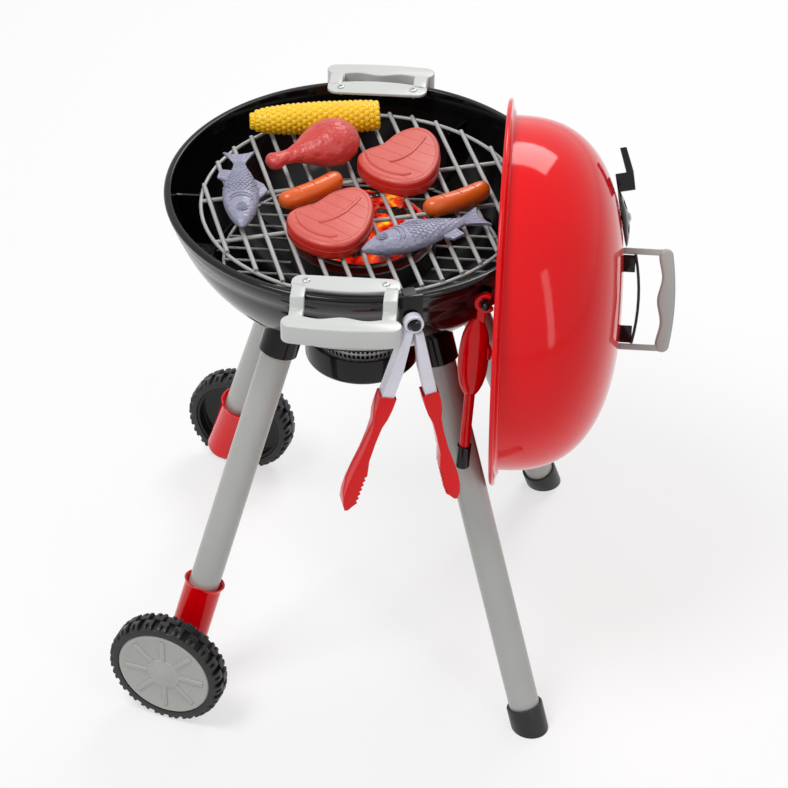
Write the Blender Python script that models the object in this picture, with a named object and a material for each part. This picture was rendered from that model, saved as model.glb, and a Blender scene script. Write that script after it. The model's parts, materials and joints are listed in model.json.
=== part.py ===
"""Toy kettle barbecue on four legs, with its lid hung on the side, its tools and its toy food.

Metres, +Z up. Pieces are laid out round the kettle's own axis with the floor at zero, and the last
step moves the whole toy so that the middle of its footprint is the origin.
Front is -Y, the lid hangs on the +X side and the wheels are on the -X side.
"""
import math

import bmesh
import bpy
from mathutils import Matrix, Vector

TAU = math.tau
X_AXIS, Y_AXIS, Z_AXIS = Vector((1, 0, 0)), Vector((0, 1, 0)), Vector((0, 0, 1))

# Fits shared by every piece
GAP = 0.0003               # between pieces that touch
OVERRUN = 0.003            # how far a cut reaches past what it cuts
MERGE = 0.00001            # welds the seams of turned shapes
SMOOTH_ANGLE = math.radians(35)

# Kettle bowl
RIM_RADIUS = 0.175
RIM_HEIGHT = 0.4755        # top of the rolled lip above the floor
LIP_HEIGHT = 0.008
LIP_WIDTH = 0.0065
LIP_ROUND = 0.0028
WALL = 0.0025
BELLY_INSET = 0.0011       # widest radius of the belly's curve inside the rim's radius
BELLY_RISE = 0.0137        # how far above the rim that widest point would lie
BELLY_DEPTH = 0.1569
BELLY_POWER = 1.87         # exponent of the belly's superellipse
BAND_DROP = 0.0205         # depth of the upright band under the rim
BAND_STEP = 0.0012
BOWL_SIDES = 36
BOWL_RINGS = 7

# Ribs inside the bowl that carry the two grates
RIB_ANGLES = (180, 60, -60)
RIB_THICK = 0.0024
RIB_UNDER = 0.0053         # how far the ribs reach in past the middle of the cooking grate's ring
SEAT_UNDER = 0.0025        # how far the lower seats reach in past the charcoal grate's ring
RIB_STEPS = 4

# Cooking grate
GRATE_MARGIN = 0.023909    # from the bowl's inner wall to the middle of its ring
ROD_EDGE = 0.0105          # from its ring to the outermost rods
GRATE_DROP = 0.0176        # middle of its ring below the rim's top
RING_WIRE = 0.0017
ROD_RADIUS = 0.002
ROD_COUNT = 15
CROSS_OFFSET = 0.0325
ROD_TURN = math.radians(18.3)
WELD_SINK = 0.001          # how deep crossing wires are welded into each other
GRATE_SIDES = 30
WIRE_SIDES = 6

# Charcoal grate
COAL_GRATE_MARGIN = 0.008966   # from the bowl's inner wall to the middle of its ring
COAL_EDGE = 0.0141         # from its ring to the outermost wires
COAL_GRATE_DROP = 0.0775
COAL_RING_WIRE = 0.0015
COAL_WIRE = 0.0012
COAL_COUNT = 13

# Side handles, front and rear alike
PLATE_WIDTH = 0.092
PLATE_INNER_INSET = 0.029  # inner edge inside the rim's outside
PLATE_OUTER_INSET = 0.0075  # outer edge inside the rim's outside
PLATE_THICK = 0.003
PLATE_CORNER = 0.009
SCREW_SPACING = 0.0672
SCREW_INSET = 0.0204       # inside the rim's outside
ARM_SPACING = 0.078
ARM_WIDTH = 0.012
ARM_THICK = 0.003
ARM_OUT = 0.0018           # clearance of the arms outside the lip
ARM_DROP = 0.0085          # how far the arms step down from the plate
GRIP_GAP = 0.017           # finger room between the rim and the grip
GRIP_LENGTH = 0.101
GRIP_DEPTH = 0.016
GRIP_BOW = 0.0035          # how much the outer face bulges in the middle
GRIP_HEIGHT = 0.018
GRIP_WAVE = 0.0017
GRIP_WAVE_LENGTH = 0.040
GRIP_ROUND = 0.003
GRIP_STEPS = 10
LEDGE_THICK = 0.005        # shelf moulded in the bowl under each plate
LEDGE_INSET = 0.004
LEDGE_STEPS = 8

# Handle screws
SCREW_HEAD_RADIUS = 0.0034
SCREW_HEAD_HEIGHT = 0.0012
SCREW_SHANK = 0.0015
SCREW_SIDES = 10

# Legs: each runs down through a point below the rim, out along X and Y by its splay per unit of drop
LEG_POINT_DROP = 0.1155     # that point below the rim's top
LEG_TOP_Y = 0.0793
WHEEL_LEG_TOP_X = -0.065
WHEEL_LEG_SPLAY_RATIOS = (-0.288487, 0.227961)
FOOT_LEG_TOP_X = 0.072
FOOT_LEG_SPLAY_RATIOS = (0.276389, 0.278333)
TUBE_RADIUS = 0.01425
TUBE_WALL = 0.0016
TUBE_SIDES = 16
SOCKET_WALL = 0.003
WHEEL_SOCKET_DROP = 0.017513   # from where the leg's axis meets the belly down to the lower edge
FOOT_SOCKET_DROP = 0.019941
MEETING_STEPS = 30
SOCKET_REACH = 0.060       # long enough to meet the belly all round before it is trimmed
CAP_WALL = 0.0024
CAP_HEIGHT = 0.024
CAP_FLOOR = 0.006

# Wheels
TYRE_RADIUS = 0.056
TYRE_WIDTH = 0.024
TYRE_BORE = 0.0459
TYRE_CROWN = 0.0025        # how much lower the shoulders are than the crown
TREAD_DEPTH = 0.003
TREAD_COUNT = 12
TREAD_CUT_WIDTH = 0.009
TREAD_SLANT = math.radians(24)
WHEEL_SIDES = 30
HUB_WIDTH = 0.019
HUB_RIM_WALL = 0.003
HUB_WEB = 0.003
HUB_TUBE = 0.009
CAP_DISC_THICK = 0.004
CAP_BOSS_RADIUS = 0.011
CAP_BOSS_HEIGHT = 0.0022
CAP_RIB_COUNT = 8
CAP_RIB_WIDTH = 0.0048
CAP_RIB_HEIGHT = 0.0011
CAP_RIB_INSET = 0.006
AXLE_RADIUS = 0.004
AXLE_HEAD_RADIUS = 0.0075
AXLE_HEAD = 0.003
AXLE_SIDES = 12
AXLE_YAW = math.radians(16.5)   # the axles are turned a little round the legs
AXLE_OUT = 0.040           # from the leg's axis to the wheel's middle
RUNNING_GAP = 0.0005

# Red wheel sleeves on the left legs
SLEEVE_WALL = 0.003
SLEEVE_TOP = 0.066         # above the axle, along the leg
SLEEVE_BOTTOM = 0.012      # below the axle, along the leg
SLEEVE_PLUG = 0.016        # solid part above the axle
SLEEVE_LIP = 0.0018
SLEEVE_LIP_HEIGHT = 0.005
SLEEVE_ROUND = 0.006
BOSS_RADIUS = 0.010

# Ash catcher under the bowl
DISH_RADIUS = 0.053
DISH_DROP = 0.0143         # its rim below the belly's bottom
DISH_HEIGHT = 0.0275
DISH_WALL = 0.002
DISH_ROUND = 0.005
DISH_POST = 0.007
BAND_RADIUS = 0.045
BAND_WALL = 0.0015
ASH_SIDES = 20

# Hook plate on the rim for the tongs
CLIP_BESIDE = 0.0089487    # its middle beside the end of the front handle's plate
CLIP_WIDTH = 0.020
CLIP_TONGUE = 0.011        # the narrower part over the rim
CLIP_THICK = 0.0026
CLIP_INNER_DROP = 0.008
CLIP_DROP = 0.030
CLIP_OUTER_GAP = 0.0008
PEG_RADIUS = 0.0034
PEG_DROP = 0.017           # peg's axis below the rim's top
PEG_LENGTH = 0.0138
PEG_HEAD_RADIUS = 0.0044
PEG_HEAD = 0.003
PEG_SIDES = 12

# Ball peg in the bowl's side for the lighter
BALL_PEG_INSET = 0.0585    # beside the kettle's axis, inside the rim's outside
BALL_PEG_DROP = 0.0255     # below the rim's top
BALL_PEG_RADIUS = 0.003
BALL_PEG_REACH = 0.019595  # the ball's middle in front of the bowl's side
BALL_RADIUS = 0.004
BALL_PEG_ROOT = 0.030
BALL_PEG_COLLAR = 0.006
BALL_PEG_COLLAR_REACH = 0.007395

# Tongs hanging on the hook plate
RING_INNER = 0.0062
RING_WALL = 0.0022
RING_WIDTH = 0.008
TONGS_LEAN = math.radians(-3.2)
TONGS_SPREAD = math.radians(14.4)
ARM_START = 0.0075         # from the ring's middle to the top of its arm
RING_SIDES = 18
BOW_WIDTH = 0.012
BOW_END = 0.080
BOW_OUT = 0.0060
BOW_IN = 0.0050
BOW_SLIM = 0.0008          # inner side at the top, where the two arms meet
BOW_FULL = 0.048           # from here down the arms have their full width
BOW_SPLIT = 0.0015         # the right arm starts this much lower than the ring's own arm
JAW_OVERLAP = 0.006
JAW_WAIST = 0.112
JAW_TIP = 0.006
JAW_END = 0.198
JAW_SLEEVE_END = 0.100
JAW_SLEEVE_HALF = 0.0075
JAW_WIDTH = 0.014
JAW_NECK_HALF = 0.0045
JAW_SPOON_START = 0.152
JAW_SPOON_HALF = 0.0075
TOOTH_COUNT = 6
TOOTH_DEPTH = 0.0018

# Lighter hanging on the ball peg
HOOK_INNER = 0.0053
HOOK_WALL = 0.0042
HOOK_WIDTH = 0.005
HOOK_LOW_ANGLE = math.radians(322)      # where the hook ends at its lower right
HOOK_HIGH_ANGLE = math.radians(58)      # where its upper end is
HOOK_STEPS = 16
HOOK_PLANE_REACH = 0.011595     # in front of the bowl's side
LIGHTER_LEAN = math.radians(3.4)
LIGHTER_SHIFT = -0.0056    # body's axis beside the hook's middle
LIGHTER_LENGTH = 0.0835
LIGHTER_TOP = 0.0165       # top of the body below the hook's middle
LIGHTER_HALF_WIDTH = 0.0136
LIGHTER_HALF_DEPTH = 0.0088
BARREL_RADIUS = 0.0047
BARREL_LENGTH = 0.062
NOZZLE_RADIUS = 0.0062
NOZZLE_LENGTH = 0.024
NOZZLE_OVERLAP = 0.006
NOZZLE_DIMPLE = 0.001
TRIGGER_DROP = 0.042       # its top below the hook's middle
TRIGGER_HEIGHT = 0.017
TRIGGER_WIDTH = 0.007
TRIGGER_OUT = 0.010
TRIGGER_ROOT = 0.004
TRIGGER_TRAVEL = 0.002
BODY_SIDES = 16

# Light and sound unit under the grate
TRAY_RADIUS = 0.066
TRAY_HEIGHT = 0.022
TRAY_WALL = 0.002
TRAY_SIDES = 20
COVER_INSET = 0.001        # the cover's rim stands on the tray's rim
COVER_RISE = 0.0155
COVER_WALL = 0.002
COVER_LUMP = 0.0022
COVER_POWER = 2.3
COVER_RINGS = 4
DOOR_LENGTH = 0.054
DOOR_WIDTH = 0.036
DOOR_THICK = 0.002
CELL_RADIUS = 0.0071
CELL_LENGTH = 0.0495
CELL_NUB_RADIUS = 0.0027
CELL_NUB = 0.001
CELL_SPACING = 0.0155
CELL_SIDES = 12
LAMP_RADIUS = 0.0025
LAMP_HEIGHT = 0.008
LAMP_POST_RADIUS = 0.005
LAMP_POST_HEIGHT = 0.008
LAMP_OUT = 0.036
BUTTON_ANGLE = math.radians(-60)
BUTTON_RADIUS = 0.005
BUTTON_STICK_OUT = 0.0035
BUTTON_FLANGE = 0.0068
BUTTON_FLANGE_THICK = 0.0015
BUTTON_TRAVEL = 0.002
BUTTON_HEIGHT = 0.011      # its axis above the tray's bottom

# Lid, turned about its own axis from the open face
LID_MOUTH_INSET = 0.0509   # open face inside the kettle's rim
LID_HOOK = 0.001074        # how far the mouth's edge hooks in over the rim
FLANGE_OUT = 0.0004        # flange's radius beyond the kettle's
FLANGE_THICK = 0.0075
FLANGE_ROUND = 0.0015
FLANGE_WIDTH = 0.0109
LID_MOUTH_DEPTH = 0.005
LID_TAPER = 0.003
LID_SHOULDER_INSET = 0.0151    # inside the flange's radius
LID_DEPTH = 0.1035
LID_POWER = 2.59
LID_WALL = 0.0022
LID_RINGS = 6
LID_SIDES = 36
LID_ROLL = math.radians(36)     # turns the handle from upright towards the back

# Lid handle and heat shield, across the top of the dome
LID_ARM_SPACING = 0.086
LID_ARM_WIDTH = 0.016
LID_ARM_THICK = 0.0055
LID_GRIP_LENGTH = 0.093
LID_GRIP_LOW = 0.031       # inner face above the dome's top
LID_GRIP_DEPTH = 0.0115
LID_GRIP_BOW = 0.0045
LID_GRIP_WIDTH = 0.018
SHIELD_THICK = 0.0024
SHIELD_WIDTH = 0.020
SHIELD_END = 0.0085        # height of its ends above the dome's top
SHIELD_BOW = 0.0045
SHIELD_BLOCK = 0.016
SHIELD_STEPS = 8

# Vent damper on the lid
DAMPER_OUT = 0.0722        # from the lid's axis
DAMPER_RADIUS = 0.0262
DAMPER_RISE = 0.0052
DAMPER_THICK = 0.0016
DAMPER_LIFT = 0.0007
DAMPER_BOSS = 0.0065
DAMPER_SIDES = 20
VENT_COUNT = 4
VENT_RADIUS = 0.0045
VENT_RING = 0.0155
VENT_SIDES = 8
LEVER_START = 0.0232
LEVER_BLOCK = 0.0165
LEVER_HEIGHT = 0.0165
LEVER_TAB = 0.0225
LEVER_TAB_THICK = 0.0058
LEVER_WIDTH = 0.012
RIVET_RADIUS = 0.0024
RIVET_HEAD = 0.0048
RIVET_HEAD_HEIGHT = 0.0018
RIVET_CLEARANCE = 0.0014

# Toy food on the grate: middle of each piece beside the kettle's axis, and its turn
CORN_PLACE, CORN_TURN = (-0.0530, 0.0985), math.radians(10.0)
CORN_LENGTH, CORN_RADIUS = 0.118, 0.0150
DRUM_PLACE, DRUM_TURN = (-0.0480, 0.0402), math.radians(36.4)
DRUM_LENGTH, DRUM_RADIUS = 0.092, 0.0252
DRUM_SQUASH_RATIO = 0.84
STEAK_LENGTH, STEAK_WIDTH, STEAK_THICK, STEAK_ROUND = 0.0945, 0.0730, 0.0170, 0.0042
REAR_STEAK_PLACE, REAR_STEAK_TURN = (0.0308, 0.0430), 0.0
FRONT_STEAK_PLACE, FRONT_STEAK_TURN = (-0.0215, -0.0579), math.radians(-5.5)
SAUSAGE_LENGTH, SAUSAGE_RADIUS, SAUSAGE_BEND = 0.067, 0.0098, 0.005
LEFT_SAUSAGE_PLACE, LEFT_SAUSAGE_TURN = (-0.0460, -0.0072), math.radians(42.0)
RIGHT_SAUSAGE_PLACE, RIGHT_SAUSAGE_TURN = (0.0829, -0.0096), math.radians(36.0)
FISH_LENGTH, FISH_HEIGHT, FISH_THICK = 0.119, 0.034, 0.021
FISH_FIN_THICK = 0.003
FRONT_FISH_PLACE, FRONT_FISH_TURN = (0.0590, -0.0680), math.radians(31.0)
LEFT_FISH_PLACE, LEFT_FISH_TURN = (-0.1065, -0.0125), math.radians(98.3)
LEFT_FISH_SINK = 0.0008     # it lies between two rods, lower than on top of them
FOOD_GRATE_RADIUS = 0.1428  # grate that the sizes and places of the food are laid out for
FOOD_SIDES = 12

# Unit outlines, as shares of the sizes above
STEAK_OUTLINE_SHARES = (
    (0.15, 0.53), (0.35, 0.44), (0.46, 0.20), (0.46, -0.12), (0.34, -0.36), (0.11, -0.46),
    (-0.16, -0.42), (-0.39, -0.29), (-0.52, -0.11), (-0.49, 0.05), (-0.26, 0.20), (-0.08, 0.42))
DRUM_PROFILE_SHARES = (
    (0.0, 0.0), (0.005, 0.22), (0.035, 0.33), (0.08, 0.36), (0.13, 0.31), (0.20, 0.26), (0.30, 0.32),
    (0.42, 0.55), (0.55, 0.83), (0.68, 0.99), (0.80, 0.96), (0.91, 0.72), (0.975, 0.40), (1.0, 0.0))
CORN_PROFILE_SHARES = (
    (0.0, 0.0), (0.0, 0.86), (0.02, 0.94), (0.15, 1.0), (0.45, 1.0), (0.70, 0.90), (0.88, 0.68),
    (0.96, 0.44), (1.0, 0.0))
FISH_SECTION_SHARES = (
    (0.0, 0.10, 0.12), (0.05, 0.34, 0.46), (0.15, 0.66, 0.82), (0.30, 0.94, 1.0), (0.45, 1.0, 0.96),
    (0.60, 0.80, 0.72), (0.72, 0.52, 0.46), (0.80, 0.34, 0.30), (0.84, 0.30, 0.22))
FISH_TAIL_SHARES = ((0.80, -0.13), (0.88, -0.20), (1.0, -0.44), (0.955, -0.06), (1.0, 0.44), (0.88, 0.20),
                    (0.80, 0.13))
FISH_DORSAL_SHARES = ((0.34, 0.40), (0.46, 0.70), (0.54, 0.62), (0.62, 0.30))
FISH_BELLY_SHARES = ((0.60, -0.30), (0.66, -0.60), (0.76, -0.52), (0.74, -0.20))
SAUSAGE_SECTION_SHARES = (
    (0.0, 0.30), (0.035, 0.66), (0.10, 0.92), (0.20, 1.0), (0.35, 1.0), (0.5, 1.0), (0.65, 1.0),
    (0.80, 1.0), (0.90, 0.92), (0.965, 0.66), (1.0, 0.30))
TRIGGER_SHARES = ((0.0, 0.0), (0.67, 0.24), (1.0, 0.62), (0.87, 0.94), (0.0, 1.0))
LIGHTER_SECTION_SHARES = (
    (0.0, 0.28), (0.06, 0.52), (0.20, 0.86), (0.38, 0.97), (0.62, 1.0), (0.80, 0.88), (0.92, 0.64),
    (1.0, 0.36))


def chord(radius, offset):
    return math.sqrt(radius * radius - offset * offset)


# Sizes that follow from the ones above
BELLY_RADIUS = RIM_RADIUS - BELLY_INSET
BELLY_CENTRE = RIM_HEIGHT + BELLY_RISE
BELLY_BOTTOM = BELLY_CENTRE - BELLY_DEPTH
PLATE_INNER = RIM_RADIUS - PLATE_INNER_INSET
SCREW_OUT = RIM_RADIUS - SCREW_INSET
GRATE_HEIGHT = RIM_HEIGHT - GRATE_DROP
ROD_HEIGHT = GRATE_HEIGHT + RING_WIRE + ROD_RADIUS - WELD_SINK
CROSS_HEIGHT = ROD_HEIGHT - 2 * ROD_RADIUS + WELD_SINK
FOOD_HEIGHT = ROD_HEIGHT + ROD_RADIUS + GAP
COAL_GRATE_HEIGHT = RIM_HEIGHT - COAL_GRATE_DROP
COAL_WIRE_HEIGHT = COAL_GRATE_HEIGHT + COAL_RING_WIRE + COAL_WIRE - WELD_SINK
TRAY_BASE = COAL_WIRE_HEIGHT + COAL_WIRE + GAP
GRIP_INNER = RIM_RADIUS + GRIP_GAP
AXLE_HEIGHT = TYRE_RADIUS
DISH_TOP = BELLY_BOTTOM - DISH_DROP
CLIP_ANGLE = math.asin((PLATE_WIDTH / 2 + CLIP_BESIDE) / RIM_RADIUS) - math.pi / 2
DISH_BOTTOM = DISH_TOP - DISH_HEIGHT
BALL_PEG_X = RIM_RADIUS - BALL_PEG_INSET
BALL_PEG_HEIGHT = RIM_HEIGHT - BALL_PEG_DROP
FLANGE_RADIUS = RIM_RADIUS + FLANGE_OUT
LID_MOUTH_RADIUS = FLANGE_RADIUS - FLANGE_WIDTH
LID_SHOULDER = FLANGE_RADIUS - LID_SHOULDER_INSET
LID_MOUTH_X = RIM_RADIUS - LID_MOUTH_INSET
LID_HEIGHT = RIM_HEIGHT - chord(LID_MOUTH_RADIUS, chord(RIM_RADIUS, LID_MOUTH_X) - LID_HOOK)
LID_TOP = FLANGE_THICK + LID_DEPTH


def clear_scene():
    for item in list(bpy.data.objects):
        bpy.data.objects.remove(item, do_unlink=True)


def make_material(name, colour, roughness, metallic=0.0):
    material = bpy.data.materials.new(name)
    material.use_nodes = True
    shader = material.node_tree.nodes["Principled BSDF"]
    shader.inputs["Base Color"].default_value = (*colour, 1)
    shader.inputs["Roughness"].default_value = roughness
    shader.inputs["Metallic"].default_value = metallic
    material.diffuse_color = (*colour, 1)
    return material


def add_empty(name, parent, matrix=None):
    """An empty that carries pieces; its Z axis is the natural axis of what it carries."""
    empty = bpy.data.objects.new(name, None)
    bpy.context.collection.objects.link(empty)
    empty.parent = parent
    empty.matrix_local = matrix if matrix else Matrix.Identity(4)
    return empty


def add_piece(name, bm, material, parent):
    """Turn a bmesh into a smooth-shaded object with its faces pointing out."""
    bmesh.ops.remove_doubles(bm, verts=bm.verts, dist=MERGE)
    bmesh.ops.recalc_face_normals(bm, faces=bm.faces)
    mesh = bpy.data.meshes.new(name)
    bm.to_mesh(mesh)
    bm.free()
    mesh.shade_smooth()
    mesh.set_sharp_from_angle(angle=SMOOTH_ANGLE)
    mesh.materials.append(material)
    piece = bpy.data.objects.new(name, mesh)
    bpy.context.collection.objects.link(piece)
    piece.parent = parent
    return piece


def add_tool(name, bm, parent):
    """A hidden shape that a Boolean joins to or cuts from a piece."""
    bmesh.ops.remove_doubles(bm, verts=bm.verts, dist=MERGE)
    bmesh.ops.recalc_face_normals(bm, faces=bm.faces)
    mesh = bpy.data.meshes.new(name)
    bm.to_mesh(mesh)
    bm.free()
    tool = bpy.data.objects.new(name, mesh)
    bpy.context.collection.objects.link(tool)
    tool.parent = parent
    tool.hide_render = True
    tool.display_type = "WIRE"
    return tool


def boolean(piece, tool, operation):
    change = piece.modifiers.new(tool.name, "BOOLEAN")
    change.object = tool
    change.operation = operation
    change.solver = "EXACT"


def cut(piece, tool):
    boolean(piece, tool, "DIFFERENCE")


def join(piece, tool):
    boolean(piece, tool, "UNION")


def round_edges(piece, width, segments=1):
    """Bevel the crisp edges of a piece."""
    bevel = piece.modifiers.new("rounded", "BEVEL")
    bevel.width = width
    bevel.segments = segments
    bevel.limit_method = "ANGLE"
    bevel.angle_limit = SMOOTH_ANGLE


def axis_matrix(origin, z_direction, x_hint=X_AXIS):
    """Matrix with its Z axis along a direction and its X axis as near as can be to a hint."""
    z = Vector(z_direction).normalized()
    y = z.cross(Vector(x_hint)).normalized()
    x = y.cross(z)
    rotation = Matrix((x, y, z)).transposed().to_4x4()
    return Matrix.Translation(Vector(origin)) @ rotation


def turned(profile, sides):
    """Turn (radius, height) points about Z: an open line from axis to axis, or a closed loop."""
    bm = bmesh.new()
    verts = [bm.verts.new((radius, 0, height)) for radius, height in profile]
    edges = [bm.edges.new(pair) for pair in zip(verts, verts[1:])]
    if profile[0][0] > 0:
        edges.append(bm.edges.new((verts[-1], verts[0])))
    bmesh.ops.spin(bm, geom=verts + edges, cent=(0, 0, 0), axis=Z_AXIS, angle=TAU, steps=sides,
                   use_merge=True)
    bmesh.ops.remove_doubles(bm, verts=bm.verts, dist=MERGE)
    return bm


def prism(outline, low, high):
    """Raise a flat (x, y) outline from one height to another."""
    bm = bmesh.new()
    base = bm.faces.new([bm.verts.new((x, y, low)) for x, y in outline])
    raised = bmesh.ops.extrude_face_region(bm, geom=[base])["geom"]
    top = [item for item in raised if isinstance(item, bmesh.types.BMVert)]
    bmesh.ops.translate(bm, verts=top, vec=(0, 0, high - low))
    return bm


def box(size, centre):
    bm = bmesh.new()
    bmesh.ops.create_cube(bm, size=1, matrix=Matrix.Translation(centre) @ Matrix.Diagonal((*size, 1)))
    return bm


def rod(start, end, radius, sides, bm=None):
    """A round bar between two points, added to a bmesh or in one of its own."""
    bm = bm or bmesh.new()
    start, end = Vector(start), Vector(end)
    hint = X_AXIS if abs((end - start).normalized().x) < math.cos(SMOOTH_ANGLE) else Y_AXIS
    place = axis_matrix((start + end) / 2, end - start, hint)
    bmesh.ops.create_cone(bm, cap_ends=True, segments=sides, radius1=radius, radius2=radius,
                          depth=(end - start).length, matrix=place)
    return bm


def loft(sections, sides):
    """Skin ellipses given as (height, centre x, half x, half y), closed flat at both ends."""
    bm = bmesh.new()
    rings = []
    angles = [TAU * step / sides for step in range(sides)]
    for height, middle, half_x, half_y in sections:
        rings.append([bm.verts.new((middle + half_x * math.cos(angle), half_y * math.sin(angle), height))
                      for angle in angles])
    for lower, upper in zip(rings, rings[1:]):
        for step in range(sides):
            bm.faces.new((lower[step - 1], lower[step], upper[step], upper[step - 1]))
    bm.faces.new(rings[0])
    bm.faces.new(rings[-1])
    return bm


def arc(centre, radius, first, last, steps):
    """Points along an arc, angles in degrees."""
    angles = [math.radians(first + (last - first) * step / steps) for step in range(steps + 1)]
    return [(centre[0] + radius * math.cos(a), centre[1] + radius * math.sin(a)) for a in angles]


def smooth_loop(points, steps):
    """A closed outline drawn as a Catmull-Rom curve through its points."""
    outline = []
    count = len(points)
    for index in range(count):
        before, start, end, after = (Vector(points[(index + shift) % count]) for shift in (-1, 0, 1, 2))
        for step in range(steps):
            t = step / steps
            straight = 2 * start + (end - before) * t
            square = (2 * before - 5 * start + 4 * end - after) * t ** 2
            cube = (3 * start - before - 3 * end + after) * t ** 3
            outline.append((straight + square + cube) / 2)
    return [(point.x, point.y) for point in outline]


def oval_radius(radius, depth, power, height):
    """Radius of a superellipse dome at a height from its widest circle."""
    share = min(abs(height) / depth, 1)
    return radius * (1 - share ** power) ** (1 / power)


def oval_points(radius, depth, power, steps):
    """(radius, height) from the pole, at -depth, up to the widest circle."""
    points = []
    for step in range(steps + 1):
        angle = math.pi / 2 * (1 - step / steps)
        points.append((radius * math.cos(angle) ** (2 / power) if step else 0.0,
                       -depth * math.sin(angle) ** (2 / power)))
    return points


def belly_radius(height, inset=0.0):
    """Radius of the bowl's outside, or of a surface inset from it, at a height above the floor."""
    return oval_radius(BELLY_RADIUS - inset, BELLY_DEPTH - inset, BELLY_POWER, BELLY_CENTRE - height)


def belly_points(inset, top):
    """The belly's curve from its bottom up to a height, inset from the outside."""
    curve = oval_points(BELLY_RADIUS - inset, BELLY_DEPTH - inset, BELLY_POWER, BOWL_RINGS)
    points = [(radius, height + BELLY_CENTRE) for radius, height in curve]
    return [point for point in points if point[1] < top - LIP_HEIGHT / 2]


def ring_outline(inner, outer, low, high):
    return [(inner, low), (outer, low), (outer, high), (inner, high)]


def add_belly_envelope(root):
    """The bowl's outside and the gap around it, which trims what seats on the belly."""
    band_low = RIM_HEIGHT - BAND_DROP - GAP
    radius = belly_radius(band_low, -GAP)
    points = belly_points(-GAP, band_low) + [(radius, band_low), (radius + BAND_STEP, band_low + BAND_STEP)]
    points += [(belly_radius(RIM_HEIGHT, -GAP) + BAND_STEP, RIM_HEIGHT), (0.0, RIM_HEIGHT)]
    return add_tool("belly_envelope", turned(points, BOWL_SIDES), root)


def bowl_profile():
    band_low = RIM_HEIGHT - BAND_DROP
    lip_low = RIM_HEIGHT - LIP_HEIGHT
    outside = belly_points(0.0, band_low)
    radius = belly_radius(band_low)
    outside += [(radius, band_low), (radius + BAND_STEP, band_low + BAND_STEP)]
    outside += [(belly_radius(lip_low) + BAND_STEP, lip_low), (RIM_RADIUS - LIP_ROUND / 2, lip_low)]
    outside += [(RIM_RADIUS, lip_low + LIP_ROUND / 2)]
    outside += arc((RIM_RADIUS - LIP_ROUND, RIM_HEIGHT - LIP_ROUND), LIP_ROUND, 0, 90, 2)
    inner_low = RIM_HEIGHT - LIP_ROUND
    inside = [(RIM_RADIUS - LIP_WIDTH, RIM_HEIGHT), (belly_radius(inner_low, WALL), inner_low)]
    inside += list(reversed(belly_points(WALL, inner_low)))
    return outside + inside


def wall_line(low, high, steps):
    """Points along the middle of the bowl's wall, from high to low."""
    heights = [high + (low - high) * step / steps for step in range(steps + 1)]
    return [(belly_radius(height, WALL / 2), height) for height in heights]


def height_at_radius(radius, inset):
    """Height above the floor where the belly, inset, has a radius."""
    share = radius / (BELLY_RADIUS - inset)
    return BELLY_CENTRE - (BELLY_DEPTH - inset) * (1 - share ** BELLY_POWER) ** (1 / BELLY_POWER)


# Sizes that follow from the belly's curve
GRATE_RADIUS = belly_radius(GRATE_HEIGHT, WALL) - GRATE_MARGIN
ROD_PITCH = 2 * (GRATE_RADIUS - ROD_EDGE) / (ROD_COUNT - 1)
COAL_GRATE_RADIUS = belly_radius(COAL_GRATE_HEIGHT, WALL) - COAL_GRATE_MARGIN
COAL_PITCH = 2 * (COAL_GRATE_RADIUS - COAL_EDGE) / (COAL_COUNT - 1)
FOOD_SCALE = GRATE_RADIUS / FOOD_GRATE_RADIUS
BALL_PEG_WALL = chord(belly_radius(BALL_PEG_HEIGHT), BALL_PEG_X)     # the bowl's side beside the peg
BALL_PEG_OUT = BALL_PEG_WALL + BALL_PEG_REACH
BALL_PEG_COLLAR_OUT = BALL_PEG_WALL + BALL_PEG_COLLAR_REACH
HOOK_PLANE_OUT = BALL_PEG_WALL + HOOK_PLANE_REACH


def rib_outline(top, inner):
    """A rib in (radius, height): flat top, upright inner edge and the wall's own curve outside."""
    low = height_at_radius(inner, WALL / 2)
    return [(inner, top)] + wall_line(low, top, RIB_STEPS)


def upright_plate(outline, thickness, angle):
    """Stand a (radius, height) outline up at an angle round the kettle's axis."""
    bm = prism(outline, -thickness / 2, thickness / 2)
    upright = Matrix.Rotation(angle, 4, "Z") @ Matrix.Rotation(math.pi / 2, 4, "X")
    bmesh.ops.transform(bm, verts=bm.verts, matrix=upright)
    return bm


def rim_curve(radius, half):
    """Points along a circle round the kettle's axis, to a half width either side of the middle."""
    reach = math.asin(half / radius)
    angles = [reach * (2 * step / LEDGE_STEPS - 1) for step in range(LEDGE_STEPS + 1)]
    return [(radius * math.sin(angle), radius * math.cos(angle)) for angle in angles]


def ledge_outline():
    """Shelf under a handle's plate: straight inner edge, the bowl's wall outside."""
    half = PLATE_WIDTH / 2 - LEDGE_INSET
    inner = PLATE_INNER + LEDGE_INSET / 2
    curve = rim_curve(belly_radius(RIM_HEIGHT - LEDGE_THICK, WALL / 2), half)
    return curve + [(half, inner), (-half, inner)]


def screw_places():
    return [(side, across * SCREW_SPACING / 2, side * SCREW_OUT) for side in (-1, 1) for across in (-1, 1)]


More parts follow.
